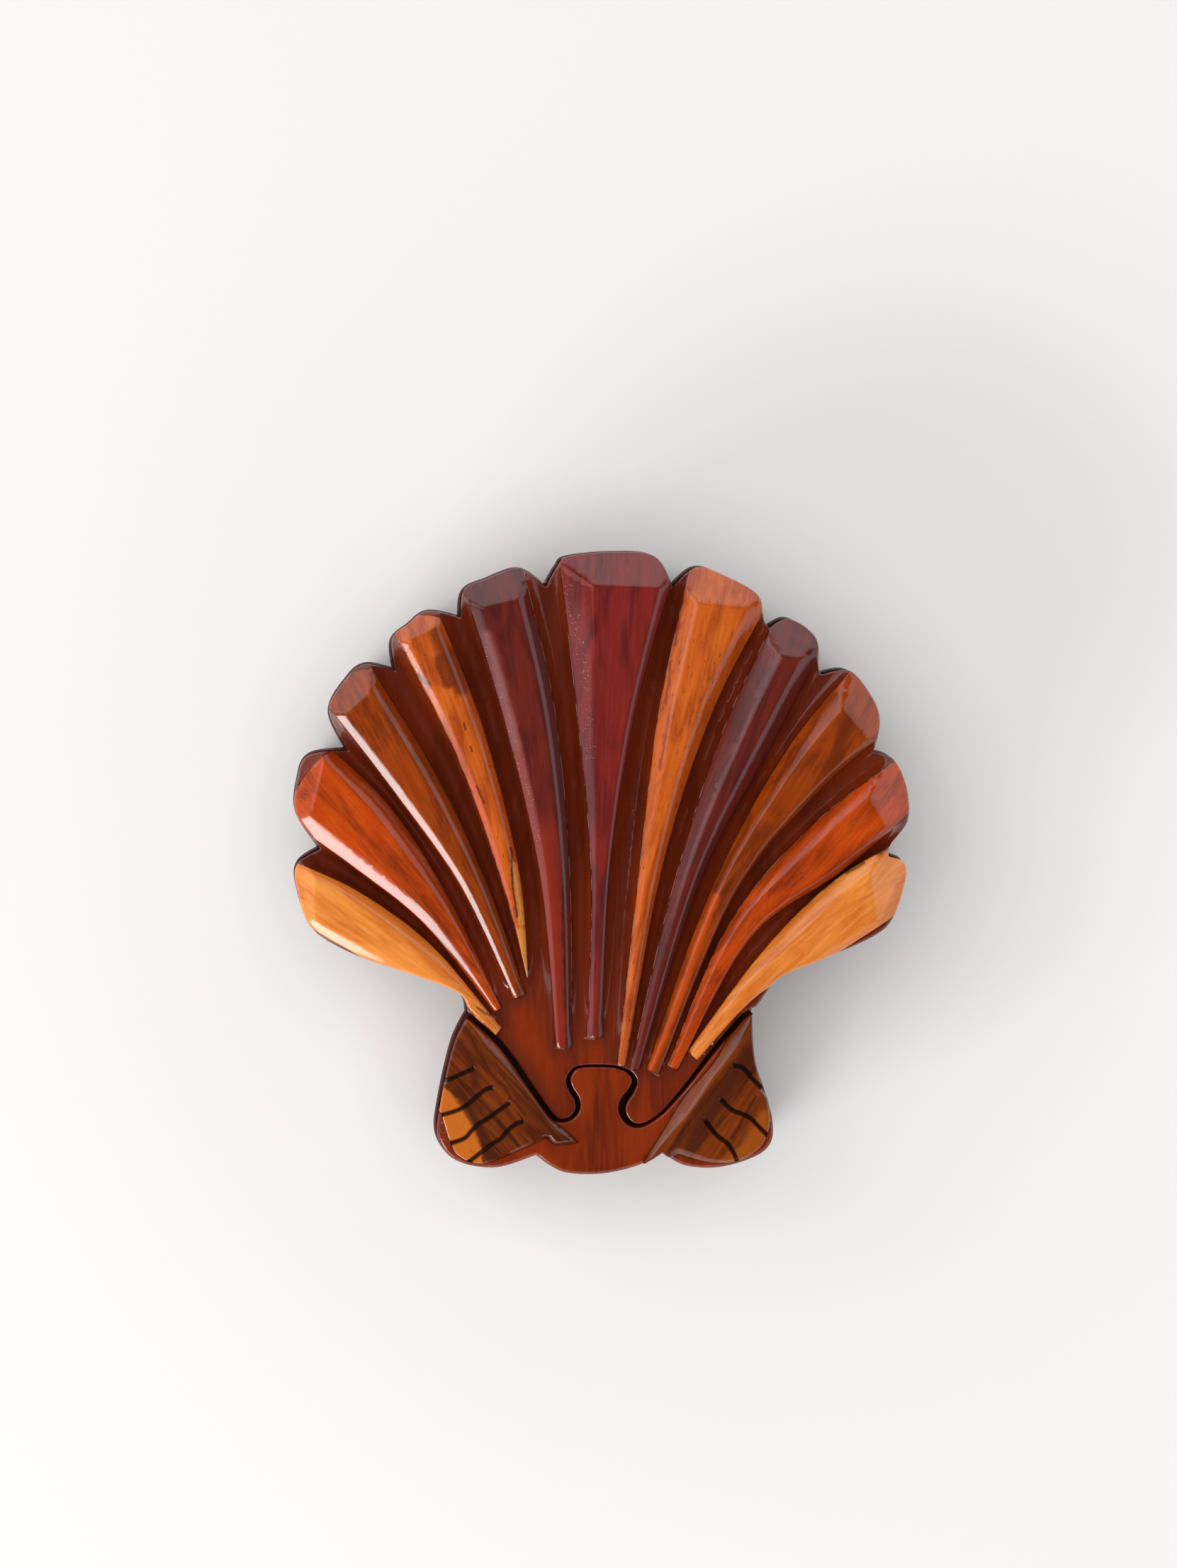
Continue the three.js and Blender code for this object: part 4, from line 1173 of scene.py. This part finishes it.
MARKS = {
    "shell_lid": [
        (ROOT_DUST, 0.3, 0.25, [(-7.5, -30.2), (-6.4, -30.3)]),
        (ROOT_DUST, 0.3, 0.25, [(-2.9, -28.5), (-1.4, -28.6)]),
        (ROOT_DUST, 0.3, 0.25, [(7.6, -33.9), (9, -34.5)]),
    ],
    "rib_left_5": [(DARK_HEART, 0.35, 0.25, [(-20.4, -23.6), (-18.3, -24.7)])],
    "rib_right_5": [
        (DARK_HEART, 0.6, 0.4, [(33, -6.9), (34.6, -5.3)]),
        (DARK_HEART, 0.8, 0.5, [(36, -4.1), (37.4, -3)]),
        (DARK_HEART, 0.6, 0.4, [(39.8, -1.5), (42.4, 0)]),
        (DARK_HEART, 0.7, 0.5, [(45, 1.5), (46.8, 2.5)]),
    ],
    "rib_left_2": [
        (RED_RIDGE, 1.6, 0.4, [(-21.2, 12.4), (-17.4, 1.5), (-14.9, -6.5)]),
        (YELLOW_SAPWOOD, 1.6, 0.4, [(-14.5, -0.5), (-13.2, -9.5)]),
        (YELLOW_SAPWOOD, 3, 0.5, [(-13.4, -11.5), (-12, -18.5)]),
        (DARK_HEART, 0.5, 0.12, [(-14.9, 2.3), (-14.6, -3.7), (-14, -8.7)]),
        (DARK_PATCH, 3.6, 0.5, [(-25.9, 32.8), (-24.9, 29.8)]),
        (DARK_PATCH, 3, 0.8, [(-24.6, 34), (-23, 28.5)]),
        (DARK_PATCH, 2.4, 0.8, [(-27.2, 37.5), (-25.4, 33.5)]),
        (DARK_HEART, 0.8, 0.4, [(-30, 30.6), (-28.2, 29)]),
        (DARK_HEART, 0.5, 0.25, [(-22.6, 22.6), (-22.3, 21.7)]),
        (DARK_HEART, 0.45, 0.25, [(-21.4, 18.9), (-21.2, 18.3)]),
        (DARK_HEART, 0.5, 0.25, [(-20.6, 12.6), (-19.2, 9.8)]),
    ],
    "rib_left_1": [
        (RED_HEART, 5, 4.5, [(-10.2, 4.1), (-9.2, -2.6), (-7.8, -21.1), (-7.2, -29.2)]),
        (RED_CHAMFER, 2.1, 0.7, [(-15.1, 24), (-12.7, 13.6), (-11.4, 7.5), (-9.4, -3)]),
        # Painted sheen on the left facet, painted shade and sheen on the right flank, painted glints in the
        # specks.
        (MAUVE_RIDGE_SHEEN, 2, 0.9, [(-18.8, 37), (-17.5, 33.2), (-15.3, 24), (-14.2, 19.5)]),
        (MAUVE_FLANK_SHADE_AND_SHEEN, 2, 0.4, [(-11.5, 39), (-10.4, 33.5), (-7.9, 21.7), (-6.2, 5.5), (-6, -3)]),
        (DARK_FLANK_SHADE, 1.4, 0.35, [(-6.2, -4), (-5.9, -17), (-5.3, -31)]),
        (None, 1.8, 0.5, [(-19.2, 35.6), (-17.3, 29.3), (-15.1, 21.1), (-12.5, 12.9), (-10.8, 4)]),
    ],
    "rib_centre": [
        # Painted glints in the specks on the left facet; painted shade and sheen on the right flank.
        (None, 2.2, 0.5, [(-5.6, 46), (-3.1, 32.1), (-2, 17.3)]),
        (MAUVE_FLANK_SHADE_AND_SHEEN, 1.5, 0.5, [(0.9, -2), (0.4, -14), (-0.2, -29)]),
    ],
    "rib_right_1": [
        (PURPLE_STREAK, 0.6, 0.35, [(13, 43), (11.7, 35.5)]),
        (PURPLE_STREAK, 0.5, 0.3, [(11.2, 33), (10.2, 26)]),
        (PURPLE_STREAK, 0.5, 0.3, [(10.8, 24), (9.2, 15)]),
    ],
    "rib_right_3": [
        # Painted shade on the right flank.
        (BROWN_FLANK_SHADE, 1.6, 0.6, [(20.4, -8), (15, -21.5), (9.4, -34.5)]),
        (ORANGE_RIDGE, 1.2, 0.6, [(18.4, -5.5), (16.2, -11.5), (11.3, -25), (7.8, -33.6)]),
    ],
    "ear_left": [
        (SAPWOOD, 8, 0.3, [(-28.5, -38.8), (-25.4, -40.6), (-23.9, -43.2), (-22.8, -46.5), (-22.7, -50)]),
        (DARK_HEART, 2.3, 0.6, [(-23.6, -37.5), (-20.4, -42.6), (-18, -48.5)]),
        (DARK_HEART, 1.8, 0.8, [(-23.2, -29.2), (-21.2, -32.5), (-20.6, -36)]),
        (DARK_HEART, 0.6, 0.3, [(-21.2, -28.7), (-18.4, -33.9), (-15, -37.9), (-12.6, -41.1)]),
        (DARK_HEART, 1.6, 1.2, [(-11.5, -43.5), (-6, -45.2)]),
    ],
    "ear_right": [
        (LIGHT_EAR, 5, 1, [(27, -42), (24, -47), (20.5, -50)]),
        (DARK_HEART, 3.4, 1, [(23.7, -30.7), (21.1, -34.9), (18.7, -38.5), (16.3, -42.7), (14.3, -46.3)]),
        (DARK_HEART, 0.7, 0.3, [(24.7, -38.3), (21.1, -44.7)]),
    ],
    "key_piece": [(None, 2.4, 0.8, [(-26.9, -42.5), (-25.9, -46)])],
}

# The sides on which a rib's glue line has worn pale: 0 is its left edge and 1 its right edge.
WORN_SIDES = {
    "rib_left_2": 0, "rib_left_1": 1, "rib_centre": 0,
    "rib_right_1": 0, "rib_right_2": 0, "rib_right_4": 0,
}

# The noises of the woods: their scales across, along and down the grain, per millimetre, and their detail.
NOISE_ROUGHNESS = 0.55
GRAIN_SHIFT = (37.0, 211.0, 5.0)
BAND_DOWN = 0.1
BAND_DETAIL = 4
BAND_TWIST = 0.8
FIBRES = ((1.3, 0.09, 0.35), 6)
PORES = ((6.0, 0.55, 0.8), 1)
SPECKS = ((4.0, 3.0, 4.0), 1)
WEAR = ((0.5, 0.25, 0.5), 3)
BREAKS = ((0.9, 0.3, 0.9), 4)
GRIT = ((3.2, 2.2, 3.2), 3)
STREAKS = ((5.0, 0.25, 1.0), 2)

# Where each of them begins and is full, and for some the strengths there. Those of glue, cut, the painted
# groove shade and the darkening near glue lines are over distances and heights in millimetres.
BAND_FADE = (0.34, 0.64)
FIBRE_FADE = (0.42, 0.7)
PORE_FADE = (0.68, 0.73)
SPECK_FADE = (0.7, 0.74)
WEAR_FADE = (0.3, 0.7, 0.4, 1.0)
BREAK_FADE = (0.44, 0.58)
SIDE_FADE = (0.3, 0.7)
GLUE_FADE = (0.03, 0.2, 0.9, 0.0)
PALE_FADE = (0.04, 0.16, 0.5, 0.0)
CUT_FADE = (0.26, 0.46, 0.92, 0.0)
# Painted shade deep in the lid's grooves, then a darkening of the lid near the glue lines.
GROOVE_SHADE_DEPTH = (-1.3, 0.4, 0.6, 0.0)
GLUE_DARKENING_REACH = (0.6, 4.2, 0.5, 0.0)
# How strongly painted shade darkens the ribs' right flanks.
FLANK_SHADE = 0.6
MARK_STRENGTH = 0.85

# How the strokes wander: the scale of it, its detail and how far, in millimetres.
WANDER_SCALE = 0.35
WANDER_DETAIL = 3.0
WANDER = (1.2, 1.2, 0)

# The varnish: how rough the wood under it is, how much of each noise shows in its surface, and its gloss.
ROUGHNESS_FADE = (0.3, 0.7, 0.3, 0.45)
FIBRE_RELIEF = 0.5
STREAK_RELIEF = 0.2
BUMP_STRENGTH = 0.3
BUMP_DISTANCE = 0.0001
WOOD_SPECULAR = 0.04
COAT_ROUGHNESS = 0.1


def stroke(tree, place, width, soft, points):
    """How far a place of the plan lies within a stroke, from 0 outside it to 1 inside."""
    nearest = None
    for start, end in zip(points, points[1:]):
        half = math.dist(start, end) / 2
        middle = (*((start + end) / 2), 0)
        turn = (0, 0, math.atan2(end[1] - start[1], end[0] - start[0]))
        inputs = {"Vector": place, "Location": middle, "Rotation": turn}
        local = node(tree, "Mapping", inputs, vector_type="TEXTURE").outputs["Vector"]
        raised = vectors(tree, "MAXIMUM", local, (-half, 0, 0))
        held = vectors(tree, "MINIMUM", raised, (half, 0, 0))
        away = vectors(tree, "DISTANCE", local, held, "Value")
        nearest = away if nearest is None else combine(tree, "MINIMUM", nearest, away)
    return ramp(tree, nearest, width / 2 - soft, width / 2 + soft, 1.0, 0.0)


def wood_colour(tree, node_name, wood, vector, fibres):
    """The wood's own colour, with painted shade deep in the lid's grooves and on the ribs' right flanks, and
    the lid darker near the glue lines.
    """
    bands = noise(tree, vector, (*wood.bands, BAND_DOWN), BAND_DETAIL, BAND_TWIST)
    colour = blend(tree, ramp(tree, bands, *BAND_FADE), wood.dark, wood.base)
    shown_fibres = times(tree, ramp(tree, fibres, *FIBRE_FADE), wood.fibre)
    colour = blend(tree, shown_fibres, colour, wood.light)
    if node_name == "shell_lid":
        # Painted shade: the lid darkens deep in its grooves, and it also darkens near the ribs' glue lines.
        depth = node(tree, "SeparateXYZ", {0: attribute(tree, "grain", "Vector")}).outputs["Z"]
        groove_shade = ramp(tree, depth, *GROOVE_SHADE_DEPTH)
        beside = ramp(tree, attribute(tree, "edge"), *GLUE_DARKENING_REACH)
        colour = blend(tree, combine(tree, "MAXIMUM", groove_shade, beside), colour, GROOVE_SHADE_COLOUR)
    # Painted shade: each rib's right flank, turned from the windows, is darkened.
    if node_name.startswith("rib"):
        colour = blend(tree, times(tree, attribute(tree, "flank"), FLANK_SHADE), colour, wood.dark)
    return colour


def add_marks(tree, node_name, grain, colour):
    """Lays the piece's strokes over its colour, along lines that wander a little."""
    in_plan = attribute(tree, "plan", "Vector")
    inputs = {"Vector": in_plan, "Scale": WANDER_SCALE, "Detail": WANDER_DETAIL}
    wander = vectors(tree, "SUBTRACT", node(tree, "TexNoise", inputs).outputs["Color"], (0.5, 0.5, 0.5))
    place = vectors(tree, "ADD", in_plan, vectors(tree, "MULTIPLY", wander, WANDER))
    for mark, width, soft, points in MARKS.get(node_name, []):
        share = stroke(tree, place, width, soft, plan(points))
        if mark:
            colour = blend(tree, times(tree, share, MARK_STRENGTH), colour, mark)
        else:
            # Pale specks: dust on the key piece, painted glints on the ribs' chamfers.
            specks = ramp(tree, noise(tree, grain, *SPECKS), *SPECK_FADE)
            colour = blend(tree, times(tree, share, specks), colour, DUST_AND_GLINT_COLOUR)
    return colour


def add_lines(tree, node_name, grain, vector, colour):
    """Darkens the cuts and the glue line, which is worn pale on some sides."""
    edge = attribute(tree, "edge")
    if node_name.startswith("ear"):
        colour = blend(tree, ramp(tree, attribute(tree, "cut"), *CUT_FADE), colour, CUT_COLOUR)
    worn = ramp(tree, noise(tree, vector, *WEAR), *WEAR_FADE)
    colour = blend(tree, times(tree, ramp(tree, edge, *GLUE_FADE), worn), colour, GLUE_COLOUR)
    if node_name in WORN_SIDES:
        worn_side = WORN_SIDES[node_name]
        near = ramp(tree, attribute(tree, "across"), *SIDE_FADE, 1 - worn_side, worn_side)
        broken = ramp(tree, noise(tree, grain, *BREAKS), *BREAK_FADE)
        pale = times(tree, times(tree, ramp(tree, edge, *PALE_FADE), near), broken)
        colour = blend(tree, pale, colour, DUST_AND_GLINT_COLOUR)
    return colour


def add_varnish(tree, shader, wood, vector, fibres):
    tree.links.new(ramp(tree, fibres, *ROUGHNESS_FADE), shader.inputs["Roughness"])
    grit = times(tree, noise(tree, vector, *GRIT), wood.grit)
    streaks = times(tree, noise(tree, vector, *STREAKS), STREAK_RELIEF)
    relief = combine(tree, "ADD", times(tree, fibres, FIBRE_RELIEF), grit)
    relief = combine(tree, "ADD", relief, streaks)
    inputs = {"Height": relief, "Strength": BUMP_STRENGTH, "Distance": BUMP_DISTANCE}
    normal = node(tree, "Bump", inputs).outputs["Normal"]
    tree.links.new(normal, shader.inputs["Normal"])
    tree.links.new(normal, shader.inputs["Coat Normal"])
    shader.inputs["Specular IOR Level"].default_value = WOOD_SPECULAR
    shader.inputs["Coat Weight"].default_value = 1.0
    shader.inputs["Coat Roughness"].default_value = COAT_ROUGHNESS


def varnished_wood(node_name, wood, seed):
    material = bpy.data.materials.new(node_name + "_wood")
    material.use_nodes = True
    tree = material.node_tree
    shader = tree.nodes["Principled BSDF"]
    grain = attribute(tree, "grain", "Vector")
    shift = [seed * part for part in GRAIN_SHIFT]
    vector = node(tree, "Mapping", {"Vector": grain, "Location": shift}).outputs["Vector"]
    fibres = noise(tree, vector, *FIBRES)
    colour = wood_colour(tree, node_name, wood, vector, fibres)
    colour = add_marks(tree, node_name, grain, colour)
    shown_pores = times(tree, ramp(tree, noise(tree, vector, *PORES), *PORE_FADE), wood.pores)
    colour = blend(tree, shown_pores, colour, PORE_COLOUR)
    colour = add_lines(tree, node_name, grain, vector, colour)
    tree.links.new(colour, shader.inputs["Base Color"])
    add_varnish(tree, shader, wood, vector, fibres)
    return material


add_camera()
add_floor()
add_room()
for window in WINDOWS:
    add_window(**window)
add_fill()
bpy.context.scene.view_settings.view_transform = "Standard"

slots = {part["node"]: part["material_slot"] for part in frame["record"]["subparts"]}
pieces = {"shell_lid": make_lid(), "key_piece": make_key(), "box_body": make_body()}
for rib, chosen in zip(ribs, in_ribs):
    pieces[rib.name] = make_rib(rib, chosen)
for ear, chosen in zip(ears, in_ears):
    pieces[ear.name] = make_ear(ear, chosen)
for seed, (node_name, piece) in enumerate(pieces.items()):
    slot = slots[node_name]
    piece.data.materials.append(varnished_wood(node_name, WOODS[slot], seed))
    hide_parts(node_name)
